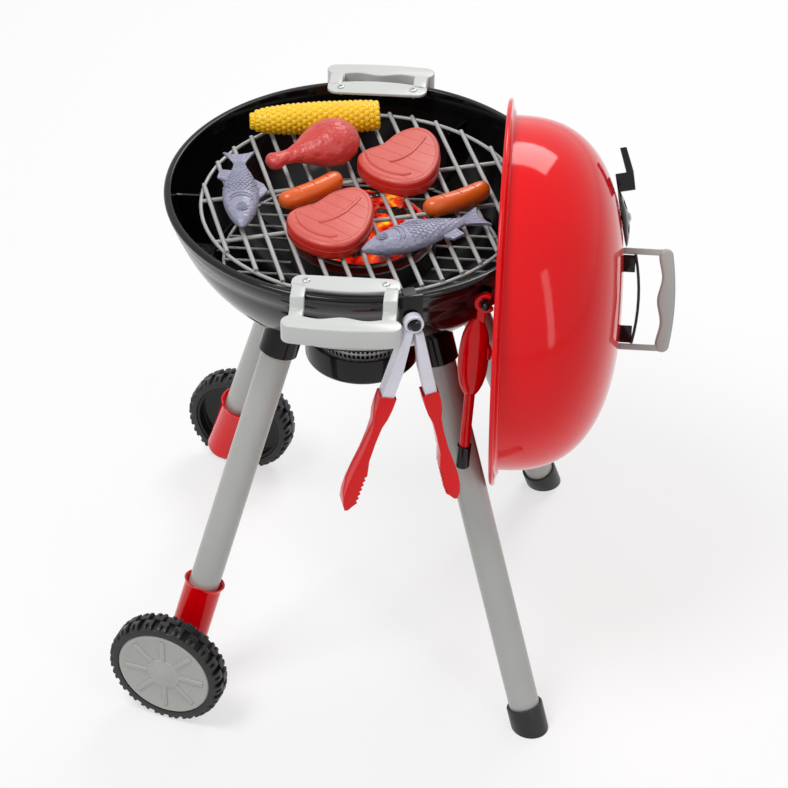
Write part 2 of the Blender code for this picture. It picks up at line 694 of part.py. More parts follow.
def build_bowl(root, paint):
    bowl = add_piece("kettle_bowl", turned(bowl_profile(), BOWL_SIDES), paint["black"], root)
    upper = GRATE_HEIGHT - RING_WIRE - GAP
    lower = COAL_GRATE_HEIGHT - COAL_RING_WIRE - GAP
    seats = (("rib", upper, GRATE_RADIUS - RIB_UNDER), ("seat", lower, COAL_GRATE_RADIUS - SEAT_UNDER))
    for number, degrees in enumerate(RIB_ANGLES):
        angle = math.radians(degrees)
        for name, top, inner in seats:
            plate = upright_plate(rib_outline(top, inner), RIB_THICK, angle)
            join(bowl, add_tool(f"{name}_{number}", plate, root))
    for side in (-1, 1):
        outline = [(x, side * y) for x, y in ledge_outline()]
        ledge = prism(outline, RIM_HEIGHT - LEDGE_THICK, RIM_HEIGHT - GAP)
        join(bowl, add_tool(f"ledge_{side}", ledge, root))
    for number, (side, x, y) in enumerate(screw_places()):
        hole = rod((x, y, RIM_HEIGHT - LEDGE_THICK - OVERRUN), (x, y, RIM_HEIGHT + OVERRUN),
                   SCREW_SHANK + GAP, SCREW_SIDES)
        cut(bowl, add_tool(f"screw_hole_{number}", hole, root))


def grip_outline(length, inner, depth, bow, wave):
    """Wavy finger side and gently bowed outer side of a grip, in (along, out)."""
    finger, outer = [], []
    for step in range(GRIP_STEPS + 1):
        share = 2 * step / GRIP_STEPS - 1
        along = share * length / 2
        finger.append((along, inner + wave * (1 - math.cos(TAU * along / GRIP_WAVE_LENGTH))))
        outer.append((along, inner + depth + bow * (1 - share * share)))
    return finger + list(reversed(outer))


def build_side_handle(root, paint, side, name):
    """Plate on the rim, two arms that step down outside the lip, and a wavy grip, all one moulding."""
    carrier = add_empty(name + "_frame", root, Matrix.Rotation(0 if side > 0 else math.pi, 4, "Z"))
    half = PLATE_WIDTH / 2
    base = RIM_HEIGHT + GAP
    outer = RIM_RADIUS - PLATE_OUTER_INSET
    edge = list(reversed(rim_curve(outer, half)))
    corners = arc((-half + PLATE_CORNER, PLATE_INNER + PLATE_CORNER), PLATE_CORNER, 180, 270, 3)
    corners += arc((half - PLATE_CORNER, PLATE_INNER + PLATE_CORNER), PLATE_CORNER, 270, 360, 3)
    handle = add_piece(name, prism(edge + corners, base, base + PLATE_THICK), paint["light_grey"], carrier)
    grip_top = base + PLATE_THICK - ARM_DROP
    grip_outer = grip_outline(GRIP_LENGTH, GRIP_INNER, GRIP_DEPTH, GRIP_BOW, GRIP_WAVE)
    grip = add_tool(name + "_grip", prism(grip_outer, grip_top - GRIP_HEIGHT, grip_top), carrier)
    round_edges(grip, GRIP_ROUND)
    step_out = RIM_RADIUS + ARM_OUT
    arm_low, arm_end = grip_top - 3 * ARM_THICK, GRIP_INNER + GRIP_ROUND
    arm_side = [(outer - PLATE_CORNER, base), (step_out - ARM_THICK, base),
                (step_out - ARM_THICK / 2, arm_low), (arm_end, arm_low), (arm_end, grip_top - GAP),
                (step_out + 2 * ARM_THICK, grip_top - GAP),
                (step_out + ARM_THICK / 2, base + PLATE_THICK), (outer - PLATE_CORNER, base + PLATE_THICK)]
    lay = axis_matrix((0, 0, 0), X_AXIS, Y_AXIS)
    for number, across in enumerate((-1, 1)):
        arm = prism(arm_side, -ARM_WIDTH / 2, ARM_WIDTH / 2)
        place = Matrix.Translation((across * ARM_SPACING / 2, 0, 0)) @ lay
        bmesh.ops.transform(arm, verts=arm.verts, matrix=place)
        join(handle, add_tool(f"{name}_arm_{number}", arm, carrier))
    join(handle, grip)
    for across in (-1, 1):
        x = across * SCREW_SPACING / 2
        hole = rod((x, SCREW_OUT, base - OVERRUN), (x, SCREW_OUT, base + PLATE_THICK + OVERRUN),
                   SCREW_SHANK + GAP, SCREW_SIDES)
        cut(handle, add_tool(f"{name}_hole_{across}", hole, carrier))


def build_handle_screws(root, paint):
    names = ("front_left_screw", "front_right_screw", "rear_left_screw", "rear_right_screw")
    seat = RIM_HEIGHT + 2 * GAP + PLATE_THICK
    tip = RIM_HEIGHT - LEDGE_THICK
    profile = [(0.0, tip), (SCREW_SHANK, tip), (SCREW_SHANK, seat), (SCREW_HEAD_RADIUS, seat),
               (SCREW_HEAD_RADIUS, seat + SCREW_HEAD_HEIGHT / 2),
               (SCREW_HEAD_RADIUS / 2, seat + SCREW_HEAD_HEIGHT), (0.0, seat + SCREW_HEAD_HEIGHT)]
    for name, (side, x, y) in zip(names, screw_places()):
        screw = add_piece(name, turned(profile, SCREW_SIDES), paint["steel"], root)
        screw.location = (x, y, 0)


def leg_line(kind, side):
    """A point high on a leg's axis, its lower point and its direction down the leg."""
    if kind == "wheel":
        x, splay, end = WHEEL_LEG_TOP_X, WHEEL_LEG_SPLAY_RATIOS, AXLE_HEIGHT
    else:
        x, splay, end = FOOT_LEG_TOP_X, FOOT_LEG_SPLAY_RATIOS, 0
    top = Vector((x, side * LEG_TOP_Y, RIM_HEIGHT - LEG_POINT_DROP))
    down = Vector((splay[0], side * splay[1], -1))
    return top, top + down * (top.z - end), down.normalized()


def point_at_height(top, direction, height):
    return top + direction * ((height - top.z) / direction.z)


def belly_meeting(top, down):
    """Where a leg's axis meets the outside of the belly, found step by step."""
    point = top
    for _ in range(MEETING_STEPS):
        point = point_at_height(top, down, height_at_radius(math.hypot(point.x, point.y), 0.0))
    return point


def cap_floor_depth(down):
    """From a foot's point on the floor up its leg to the bottom of the cap's bore."""
    return CAP_FLOOR / abs(down.z) + TUBE_RADIUS * math.tan(math.acos(abs(down.z)))


def build_leg(root, paint, envelope, kind, side, name):
    """A tube with its top against the belly, in a socket ring that seats on the belly too."""
    top, low, down = leg_line(kind, side)
    drop = WHEEL_SOCKET_DROP if kind == "wheel" else FOOT_SOCKET_DROP
    foot = point_at_height(top, down, belly_meeting(top, down).z - drop)
    carrier = add_empty(name + "_frame", root, axis_matrix(foot, -down))
    start = (low - foot).length
    shorter = GAP / abs(down.z) + (SLEEVE_PLUG if kind == "wheel" else cap_floor_depth(down))
    tube = ring_outline(TUBE_RADIUS - TUBE_WALL, TUBE_RADIUS, shorter - start, SOCKET_REACH)
    leg = add_piece(name, turned(tube, TUBE_SIDES), paint["leg_grey"], carrier)
    cut(leg, envelope)
    ring = ring_outline(TUBE_RADIUS + GAP, TUBE_RADIUS + GAP + SOCKET_WALL, 0.0, SOCKET_REACH)
    socket = add_piece(name + "_socket", turned(ring, TUBE_SIDES), paint["black"], carrier)
    cut(socket, envelope)


def build_foot_cap(root, paint, side, name):
    _, low, down = leg_line("foot", side)
    place = axis_matrix(low, -down)
    carrier = add_empty(name + "_frame", root, place)
    outer = TUBE_RADIUS + GAP + CAP_WALL
    body = turned([(0.0, -outer), (outer, -outer), (outer, CAP_HEIGHT), (0.0, CAP_HEIGHT)], TUBE_SIDES)
    upright = place.to_3x3().inverted() @ Z_AXIS
    flat = bmesh.ops.bisect_plane(body, geom=body.verts[:] + body.edges[:] + body.faces[:], dist=MERGE,
                                  plane_co=(0, 0, 0), plane_no=upright, clear_inner=True)
    rim = [item for item in flat["geom_cut"] if isinstance(item, bmesh.types.BMEdge)]
    bmesh.ops.contextual_create(body, geom=rim)
    cap = add_piece(name, body, paint["black_soft"], carrier)
    bore = rod((0, 0, cap_floor_depth(down)), (0, 0, CAP_HEIGHT + OVERRUN), TUBE_RADIUS + GAP, TUBE_SIDES)
    cut(cap, add_tool(name + "_bore", bore, carrier))


def axle_direction(side):
    return side * Vector((math.sin(AXLE_YAW), math.cos(AXLE_YAW), 0))


def build_sleeve(root, paint, side, name):
    """Red sleeve round the leg's end, with a boss that the axle runs through."""
    _, low, down = leg_line("wheel", side)
    carrier = add_empty(name + "_frame", root, axis_matrix(low, -down))
    outer = TUBE_RADIUS + GAP + SLEEVE_WALL
    profile = [(0.0, -SLEEVE_BOTTOM)]
    profile += arc((outer - SLEEVE_ROUND, -SLEEVE_BOTTOM + SLEEVE_ROUND), SLEEVE_ROUND, 270, 360, 3)
    profile += [(outer, SLEEVE_TOP - SLEEVE_LIP_HEIGHT), (outer + SLEEVE_LIP, SLEEVE_TOP - GAP),
                (outer + SLEEVE_LIP / 2, SLEEVE_TOP), (0.0, SLEEVE_TOP)]
    sleeve = add_piece(name, turned(profile, TUBE_SIDES), paint["red"], carrier)
    out = axle_direction(side)
    end = low + out * (AXLE_OUT - TYRE_WIDTH / 2 - RUNNING_GAP)
    join(sleeve, add_tool(name + "_boss", rod(low, end, BOSS_RADIUS, TUBE_SIDES), root))
    bore = rod((0, 0, SLEEVE_PLUG), (0, 0, SLEEVE_TOP + OVERRUN), TUBE_RADIUS + GAP, TUBE_SIDES)
    cut(sleeve, add_tool(name + "_bore", bore, carrier))
    hole = rod(low - out * AXLE_OUT, end + out * OVERRUN, AXLE_RADIUS + GAP, AXLE_SIDES)
    cut(sleeve, add_tool(name + "_axle_hole", hole, root))
    head_seat = outer + GAP
    pocket_end = low - out * (head_seat - AXLE_HEAD)
    pocket = rod(low - out * AXLE_OUT, pocket_end, AXLE_HEAD_RADIUS + GAP, TUBE_SIDES)
    cut(sleeve, add_tool(name + "_pocket", pocket, root))
    return head_seat


def tread_cutter():
    """Two staggered rows of slanted grooves round the tyre."""
    bm = bmesh.new()
    for row in (-1, 1):
        for number in range(TREAD_COUNT):
            angle = TAU * (number + (row + 1) / 4) / TREAD_COUNT
            size = (2 * TREAD_DEPTH, TREAD_CUT_WIDTH, TYRE_WIDTH / 2 - GAP)
            centre = Matrix.Translation((TYRE_RADIUS, 0, row * (TYRE_WIDTH / 4 + GAP)))
            slant = Matrix.Rotation(row * TREAD_SLANT, 4, "X")
            place = Matrix.Rotation(angle, 4, "Z") @ centre @ slant @ Matrix.Diagonal((*size, 1))
            bmesh.ops.create_cube(bm, size=1, matrix=place)
    return bm


def build_wheel(root, paint, side, name):
    """Tyre, hub and hub cap that turn together on the axle."""
    _, low, _ = leg_line("wheel", side)
    out = axle_direction(side)
    spin = add_empty(name + "_spin", root, axis_matrix(low + out * AXLE_OUT, out, Z_AXIS))
    half = TYRE_WIDTH / 2
    shoulder = TYRE_RADIUS - TYRE_CROWN
    tyre_profile = [(TYRE_BORE, -half), (shoulder, -half), (TYRE_RADIUS, -half / 2), (TYRE_RADIUS, half / 2),
                    (shoulder, half), (TYRE_BORE, half)]
    tyre = add_piece(name + "_tyre", turned(tyre_profile, WHEEL_SIDES), paint["tyre"], spin)
    cut(tyre, add_tool(name + "_tread", tread_cutter(), spin))
    rim = TYRE_BORE - GAP
    disc = half - CAP_DISC_THICK
    hub_back = disc - GAP - HUB_WIDTH
    bore = AXLE_RADIUS + GAP
    inside = rim - HUB_RIM_WALL
    hub_profile = [(bore, -half), (HUB_TUBE, -half), (HUB_TUBE, -HUB_WEB / 2), (inside, -HUB_WEB / 2),
                   (inside, hub_back), (rim, hub_back), (rim, disc - GAP), (inside, disc - GAP),
                   (inside, HUB_WEB / 2), (bore, HUB_WEB / 2)]
    add_piece(name + "_hub", turned(hub_profile, WHEEL_SIDES), paint["black"], spin)
    cap_profile = [(0.0, disc), (rim, disc), (rim, half - CAP_RIB_HEIGHT), (rim - CAP_RIB_INSET / 2, half),
                   (rim - CAP_RIB_INSET, half - CAP_RIB_HEIGHT), (CAP_BOSS_RADIUS, half - CAP_RIB_HEIGHT),
                   (CAP_BOSS_RADIUS, half), (CAP_BOSS_RADIUS / 2, half + CAP_BOSS_HEIGHT),
                   (0.0, half + CAP_BOSS_HEIGHT)]
    hubcap = add_piece(name + "_hubcap", turned(cap_profile, WHEEL_SIDES), paint["hub_grey"], spin)
    length = rim - CAP_RIB_INSET - CAP_BOSS_RADIUS + 2 * CAP_RIB_HEIGHT
    ribs = bmesh.new()
    for number in range(CAP_RIB_COUNT):
        size = (length, CAP_RIB_WIDTH, 2 * CAP_RIB_HEIGHT)
        centre = (CAP_BOSS_RADIUS + length / 2 - CAP_RIB_HEIGHT, 0, half - CAP_RIB_HEIGHT + GAP)
        turn = Matrix.Rotation(TAU * number / CAP_RIB_COUNT, 4, "Z")
        place = turn @ Matrix.Translation(centre) @ Matrix.Diagonal((*size, 1))
        bmesh.ops.create_cube(ribs, size=1, matrix=place)
    join(hubcap, add_tool(name + "_cap_ribs", ribs, spin))


def build_axle(root, paint, side, name, head_seat):
    """Steel pin with its head in the sleeve and its end in the wheel's hub."""
    _, low, _ = leg_line("wheel", side)
    out = axle_direction(side)
    carrier = add_empty(name + "_frame", root, axis_matrix(low, out, Z_AXIS))
    seat = -(head_seat - AXLE_HEAD) - GAP
    end = AXLE_OUT + TYRE_WIDTH / 2 - CAP_DISC_THICK - 2 * GAP
    back = seat - AXLE_HEAD + GAP
    profile = [(0.0, back), (AXLE_HEAD_RADIUS, back), (AXLE_HEAD_RADIUS, seat), (AXLE_RADIUS, seat),
               (AXLE_RADIUS, end), (0.0, end)]
    add_piece(name, turned(profile, AXLE_SIDES), paint["steel"], carrier)


def build_ash_catcher(root, paint):
    post_top = BELLY_BOTTOM - GAP
    floor = DISH_BOTTOM + DISH_WALL
    dish = [(0.0, DISH_BOTTOM)]
    dish += arc((DISH_RADIUS - DISH_ROUND, DISH_BOTTOM + DISH_ROUND), DISH_ROUND, 270, 360, 3)
    dish += [(DISH_RADIUS, DISH_TOP), (DISH_RADIUS - DISH_WALL, DISH_TOP)]
    dish += arc((DISH_RADIUS - DISH_ROUND, DISH_BOTTOM + DISH_ROUND), DISH_ROUND - DISH_WALL, 360, 270, 2)
    dish += [(DISH_POST, floor), (DISH_POST, post_top), (0.0, post_top)]
    add_piece("ash_dish", turned(dish, ASH_SIDES), paint["black"], root)
    inner = BAND_RADIUS - BAND_WALL
    top = height_at_radius(inner, 0.0) - 2 * GAP
    band = turned(ring_outline(inner, BAND_RADIUS, floor + GAP, top), ASH_SIDES)
    add_piece("vent_band", band, paint["silver"], root)


def wire_ring(radius, wire):
    """The ring of a grate, laid flat at height zero."""
    return turned(arc((radius, 0.0), wire, 0, 360, WIRE_SIDES)[:-1], GRATE_SIDES)


def build_cooking_grate(root, paint):
    place = Matrix.Translation((0, 0, GRATE_HEIGHT)) @ Matrix.Rotation(ROD_TURN, 4, "Z")
    lift = add_empty("cooking_grate_lift", root, place)
    grate = add_piece("cooking_grate", wire_ring(GRATE_RADIUS, RING_WIRE), paint["grate_grey"], lift)
    rod_z = ROD_HEIGHT - GRATE_HEIGHT
    cross_z = CROSS_HEIGHT - GRATE_HEIGHT
    rods = bmesh.new()
    for number in range(ROD_COUNT):
        offset = (number - (ROD_COUNT - 1) / 2) * ROD_PITCH
        half = chord(GRATE_RADIUS, offset)
        rod((offset, -half, rod_z), (offset, half, rod_z), ROD_RADIUS, WIRE_SIDES, rods)
    join(grate, add_tool("grate_rods", rods, lift))
    crossings = bmesh.new()
    half = chord(GRATE_RADIUS, CROSS_OFFSET)
    for y in (-CROSS_OFFSET, CROSS_OFFSET):
        rod((-half, y, cross_z), (half, y, cross_z), ROD_RADIUS, WIRE_SIDES, crossings)
    join(grate, add_tool("grate_crossings", crossings, lift))


def build_charcoal_grate(root, paint):
    lift = add_empty("charcoal_grate_lift", root, Matrix.Translation((0, 0, COAL_GRATE_HEIGHT)))
    ring = wire_ring(COAL_GRATE_RADIUS, COAL_RING_WIRE)
    grate = add_piece("charcoal_grate", ring, paint["grate_grey"], lift)
    wire_z = COAL_WIRE_HEIGHT - COAL_GRATE_HEIGHT
    wires = bmesh.new()
    for number in range(COAL_COUNT):
        offset = (number - (COAL_COUNT - 1) / 2) * COAL_PITCH
        half = chord(COAL_GRATE_RADIUS, offset)
        rod((-half, offset, wire_z), (half, offset, wire_z), COAL_WIRE, WIRE_SIDES, wires)
    join(grate, add_tool("charcoal_wires", wires, lift))
    return lift


def build_fire_unit(lift, paint):
    """Tray with its batteries, door, lamp and button, and the moulded bed of coals on top."""
    base = TRAY_BASE - COAL_GRATE_HEIGHT
    floor = base + TRAY_WALL
    inner = TRAY_RADIUS - TRAY_WALL
    rim = base + TRAY_HEIGHT
    profile = [(0.0, base), (TRAY_RADIUS, base), (TRAY_RADIUS, rim), (inner, rim), (inner, floor),
               (0.0, floor)]
    tray = add_piece("fire_tray", turned(profile, TRAY_SIDES), paint["dark_grey"], lift)
    stops = box((DOOR_LENGTH + 4 * TRAY_WALL, DOOR_WIDTH, CELL_RADIUS), (0, 0, floor + CELL_RADIUS / 2 - GAP))
    join(tray, add_tool("cell_stops", stops, lift))
    well_centre = (0, 0, base + TRAY_HEIGHT / 2 - OVERRUN)
    well = box((DOOR_LENGTH + 2 * GAP, DOOR_WIDTH + 2 * GAP, TRAY_HEIGHT), well_centre)
    cut(tray, add_tool("door_opening", well, lift))
    post_top = floor + LAMP_POST_HEIGHT
    post = rod((0, LAMP_OUT, floor - GAP), (0, LAMP_OUT, post_top), LAMP_POST_RADIUS, CELL_SIDES)
    join(tray, add_tool("lamp_post", post, lift))
    out = Vector((math.cos(BUTTON_ANGLE), math.sin(BUTTON_ANGLE), 0))
    axis = Vector((0, 0, base + BUTTON_HEIGHT))
    hole_start, hole_end = axis + out * (inner - OVERRUN), axis + out * (TRAY_RADIUS + OVERRUN)
    hole = rod(hole_start, hole_end, BUTTON_RADIUS + GAP, CELL_SIDES)
    cut(tray, add_tool("button_hole", hole, lift))
    door = box((DOOR_LENGTH, DOOR_WIDTH, DOOR_THICK), (0, 0, base + DOOR_THICK / 2))
    add_piece("battery_door", door, paint["dark_grey"], lift)
    cell_height = base + DOOR_THICK + GAP + CELL_RADIUS
    half = (CELL_LENGTH + CELL_NUB) / 2
    cell = [(0.0, -half), (CELL_RADIUS, -half), (CELL_RADIUS, half - CELL_NUB),
            (CELL_NUB_RADIUS, half - CELL_NUB), (CELL_NUB_RADIUS, half), (0.0, half)]
    for name, side in (("battery_front", -1), ("battery_rear", 1)):
        battery = add_piece(name, turned(cell, CELL_SIDES), paint["battery"], lift)
        battery.matrix_local = axis_matrix((0, side * CELL_SPACING / 2, cell_height), side * X_AXIS, Z_AXIS)
    lamp_low = post_top + GAP
    lamp_high = lamp_low + LAMP_HEIGHT
    lamp = [(0.0, lamp_low), (LAMP_RADIUS, lamp_low)]
    lamp += arc((0.0, lamp_high - LAMP_RADIUS), LAMP_RADIUS, 0, 90, 3)[:-1] + [(0.0, lamp_high)]
    bulb = add_piece("fire_lamp", turned(lamp, CELL_SIDES), paint["lamp"], lift)
    bulb.location = (0, LAMP_OUT, 0)
    press = add_empty("power_button_press", lift, axis_matrix(axis, out, Z_AXIS))
    seat = chord(inner, BUTTON_FLANGE) * math.cos(math.pi / TRAY_SIDES) - GAP
    back = seat - BUTTON_FLANGE_THICK
    end = TRAY_RADIUS + BUTTON_STICK_OUT
    button = [(0.0, back), (BUTTON_FLANGE, back), (BUTTON_FLANGE, seat), (BUTTON_RADIUS, seat),
              (BUTTON_RADIUS, end - BUTTON_FLANGE_THICK), (BUTTON_RADIUS - BUTTON_FLANGE_THICK, end),
              (0.0, end)]
    add_piece("power_button", turned(button, CELL_SIDES), paint["red"], press)
    build_coal_bed(lift, paint, rim + GAP)


def coal_waves(share, angle):
    """Uneven surface of the coals between -1 and 1: waves that repeat round the circle."""
    broad = math.sin(3 * angle + 7 * share)
    middling = math.cos(5 * angle - 9 * share)
    fine = math.sin(8 * angle + 13 * share)
    return (broad + middling + fine) / 3


def build_coal_bed(lift, paint, base):
    """Moulded bed of glowing coals: a lumpy dome, hollow below."""
    outer = TRAY_RADIUS - COVER_INSET
    inner = outer - COVER_WALL
    outside = oval_points(outer, COVER_RISE, COVER_POWER, COVER_RINGS)
    inside = oval_points(inner, COVER_RISE - COVER_WALL, COVER_POWER, COVER_RINGS)
    profile = [(radius, base - height) for radius, height in outside + list(reversed(inside))]
    bed = turned(profile, TRAY_SIDES)
    for vert in bed.verts:
        share = math.hypot(vert.co.x, vert.co.y) / inner
        waves = coal_waves(share, math.atan2(vert.co.y, vert.co.x))
        vert.co.z += COVER_LUMP * waves * max(1 - share ** 4, 0)
    add_piece("coal_bed", bed, paint["coal"], lift)


def dome_height(radius, inset=0.0):
    """Height of the lid's dome above its open face, at a distance from its axis."""
    return FLANGE_THICK + oval_radius(LID_DEPTH - inset, LID_SHOULDER - inset, LID_POWER, radius)


def dome_points(inset):
    curve = oval_points(LID_SHOULDER - inset, LID_DEPTH - inset, LID_POWER, LID_RINGS)
    return [(radius, FLANGE_THICK - height) for radius, height in curve]


def build_lid(root, paint):
    """Domed shell with a thick flange, its handle, heat shield and damper."""
    roll = Vector((0, math.cos(LID_ROLL), -math.sin(LID_ROLL)))
    lift = add_empty("lid_lift", root, axis_matrix((LID_MOUTH_X, 0, LID_HEIGHT), X_AXIS, roll))
    flange = arc((FLANGE_RADIUS - FLANGE_ROUND, FLANGE_THICK - FLANGE_ROUND), FLANGE_ROUND, 90, 0, 1)
    flange += arc((FLANGE_RADIUS - FLANGE_ROUND, FLANGE_ROUND), FLANGE_ROUND, 0, -90, 1)
    mouth = [(LID_MOUTH_RADIUS, 0.0), (LID_MOUTH_RADIUS, LID_MOUTH_DEPTH)]
    inner = [point for point in reversed(dome_points(LID_WALL)) if point[1] > LID_MOUTH_DEPTH + LID_TAPER]
    neck = [(LID_SHOULDER - LID_WALL, LID_MOUTH_DEPTH + LID_TAPER)]
    profile = dome_points(0.0) + flange + mouth + neck + inner
    shell = add_piece("lid_shell", turned(profile, LID_SIDES), paint["red"], lift)
    envelope = add_tool("lid_envelope", turned(dome_points(-GAP) + [(0.0, FLANGE_THICK)], LID_SIDES), lift)
    build_lid_handle(lift, paint, envelope)
    build_heat_shield(lift, paint, envelope)
    build_damper(lift, paint, shell)


def across_prism(outline, width):
    """Raise an (across, out) outline of the lid's handle to a width either side of its middle."""
    bm = prism(outline, -width / 2, width / 2)
    bmesh.ops.transform(bm, verts=bm.verts, matrix=axis_matrix((0, 0, 0), X_AXIS, Y_AXIS))
    return bm


def build_lid_handle(lift, paint, envelope):
    inner = LID_TOP + LID_GRIP_LOW
    outline = grip_outline(LID_GRIP_LENGTH, inner, LID_GRIP_DEPTH, LID_GRIP_BOW, GRIP_WAVE)
    handle = add_piece("lid_handle", across_prism(outline, LID_GRIP_WIDTH), paint["light_grey"], lift)
    round_edges(handle, GRIP_ROUND)
    for side in (-1, 1):
        middle = side * LID_ARM_SPACING / 2
        left, right = middle - LID_ARM_THICK / 2, middle + LID_ARM_THICK / 2
        low, high = dome_height(abs(middle)) - OVERRUN, inner + LID_GRIP_DEPTH / 2
        arm = [(left, low), (right, low), (right, high), (left, high)]
        join(handle, add_tool(f"lid_arm_{side}", across_prism(arm, LID_ARM_WIDTH), lift))
    cut(handle, envelope)


def build_heat_shield(lift, paint, envelope):
    """Thin bowed strip between the handle's arms, on two blocks."""
    end = (LID_ARM_SPACING - LID_ARM_THICK) / 2 - GAP
    low = LID_TOP + SHIELD_END
    under, over = [], []
    for step in range(SHIELD_STEPS + 1):
        share = 2 * step / SHIELD_STEPS - 1
        height = low + SHIELD_BOW * (1 - share * share)
        under.append((share * end, height))
        over.append((share * end, height + SHIELD_THICK))
    strip = across_prism(under + list(reversed(over)), SHIELD_WIDTH)
    shield = add_piece("lid_heat_shield", strip, paint["black"], lift)
    for side in (-1, 1):
        first, last = side * (end - SHIELD_BLOCK), side * (end - 2 * GAP)
        sole, head = dome_height(end) - OVERRUN, low + SHIELD_THICK / 2
        foot = [(first, sole), (last, sole), (last, head), (first, head)]
        block = across_prism(foot, SHIELD_WIDTH - 2 * SHIELD_THICK)
        join(shield, add_tool(f"shield_foot_{side}", block, lift))
    cut(shield, envelope)


def damper_height(radius):
    """Height of the damper's hollow side above the plane it turns on."""
    share = radius / DAMPER_RADIUS
    return DAMPER_LIFT + DAMPER_RISE * (1 - share * share)


def vent_cutter(radius):
    bm = bmesh.new()
    for number in range(VENT_COUNT):
        angle = TAU * (number + 0.5) / VENT_COUNT
        x, y = VENT_RING * math.cos(angle), VENT_RING * math.sin(angle)
        rod((x, y, -DAMPER_RADIUS / 2), (x, y, DAMPER_RADIUS / 2), radius, VENT_SIDES, bm)
    return bm


def build_damper(lift, paint, shell):
    """Turning vent cap with four holes and a raised lever, held by a rivet."""
    run = DAMPER_RADIUS / 2
    slope = (dome_height(DAMPER_OUT - run) - dome_height(DAMPER_OUT + run)) / (2 * run)
    normal = Vector((0, slope, 1)).normalized()
    seat = axis_matrix((0, DAMPER_OUT, dome_height(DAMPER_OUT)), normal, X_AXIS)
    turn = add_empty("damper_turn", lift, seat)
    hole = RIVET_RADIUS + GAP
    middle = (DAMPER_RADIUS + DAMPER_BOSS) / 2
    rings = (DAMPER_BOSS, middle, DAMPER_RADIUS - DAMPER_THICK)
    under = [(hole, GAP), (DAMPER_BOSS, GAP)] + [(radius, damper_height(radius)) for radius in rings]
    over = [(radius, damper_height(radius) + DAMPER_THICK) for radius in reversed(rings)]
    edge = [(DAMPER_RADIUS, DAMPER_LIFT), (DAMPER_RADIUS, DAMPER_LIFT + DAMPER_THICK / 2)]
    top = [(hole, damper_height(DAMPER_BOSS) + DAMPER_THICK)]
    damper = add_piece("vent_damper", turned(under + edge + over + top, DAMPER_SIDES), paint["black"], turn)
    cut(damper, add_tool("damper_vents", vent_cutter(VENT_RADIUS), turn))
    block, tab = LEVER_START + LEVER_BLOCK, LEVER_START + LEVER_BLOCK + LEVER_TAB
    tab_top = LEVER_HEIGHT - LEVER_TAB_THICK + DAMPER_BOSS / 2
    lever = [(LEVER_START, DAMPER_LIFT), (block, DAMPER_LIFT), (block, LEVER_HEIGHT - LEVER_TAB_THICK),
             (tab, tab_top - LEVER_TAB_THICK), (tab, tab_top), (block, LEVER_HEIGHT + DAMPER_LIFT),
             (LEVER_START, LEVER_HEIGHT)]
    tool = add_tool("damper_lever", across_prism(lever, LEVER_WIDTH), turn)
    join(damper, tool)
    cut(shell, add_tool("lid_vents", vent_cutter(VENT_RADIUS), turn))
    bore = rod((0, 0, -DAMPER_RADIUS / 2), (0, 0, DAMPER_RADIUS / 2), hole, VENT_SIDES)
    cut(shell, add_tool("rivet_hole", bore, turn))
    tail = -LID_WALL - RIVET_CLEARANCE
    head = damper_height(DAMPER_BOSS) + DAMPER_THICK + GAP
    rivet = [(0.0, tail - RIVET_HEAD_HEIGHT), (RIVET_HEAD, tail - RIVET_HEAD_HEIGHT), (RIVET_HEAD, tail),
             (RIVET_RADIUS, tail), (RIVET_RADIUS, head), (RIVET_HEAD, head),
             (RIVET_HEAD / 2, head + RIVET_HEAD_HEIGHT), (0.0, head + RIVET_HEAD_HEIGHT)]
    rivet_seat = add_empty("rivet_frame", lift, seat)
    add_piece("damper_rivet", turned(rivet, VENT_SIDES), paint["steel"], rivet_seat)


def build_tongs_clip(root, paint):
    """Plate hooked over the rim with a headed peg for the tongs."""
    inner = chord(RIM_RADIUS - LIP_WIDTH, CLIP_TONGUE / 2) * math.cos(math.pi / BOWL_SIDES) - GAP
    outer = RIM_RADIUS + CLIP_OUTER_GAP
    under = RIM_HEIGHT + GAP
    plate = ring_outline(outer, outer + CLIP_THICK, under - CLIP_DROP, under + CLIP_THICK)
    clip = add_piece("tongs_clip", upright_plate(plate, CLIP_WIDTH, CLIP_ANGLE), paint["black"], root)
    tongue = [(inner - CLIP_THICK, under - CLIP_INNER_DROP), (inner, under - CLIP_INNER_DROP), (inner, under),
              (outer + CLIP_THICK / 2, under), (outer + CLIP_THICK / 2, under + CLIP_THICK - GAP),
              (inner - CLIP_THICK, under + CLIP_THICK - GAP)]
    join(clip, add_tool("clip_tongue", upright_plate(tongue, CLIP_TONGUE, CLIP_ANGLE), root))
    out = Vector((math.cos(CLIP_ANGLE), math.sin(CLIP_ANGLE), 0))
    foot = out * outer + Z_AXIS * (RIM_HEIGHT - PEG_DROP)
    carrier = add_empty("tongs_peg_frame", root, axis_matrix(foot, out, Z_AXIS))
    neck = CLIP_THICK + PEG_LENGTH
    peg = [(0.0, CLIP_THICK / 2), (PEG_RADIUS, CLIP_THICK / 2), (PEG_RADIUS, neck), (PEG_HEAD_RADIUS, neck),
           (PEG_HEAD_RADIUS, neck + PEG_HEAD), (0.0, neck + PEG_HEAD)]
    join(clip, add_tool("tongs_peg", turned(peg, PEG_SIDES), carrier))
    return out, outer + CLIP_THICK + PEG_LENGTH / 2


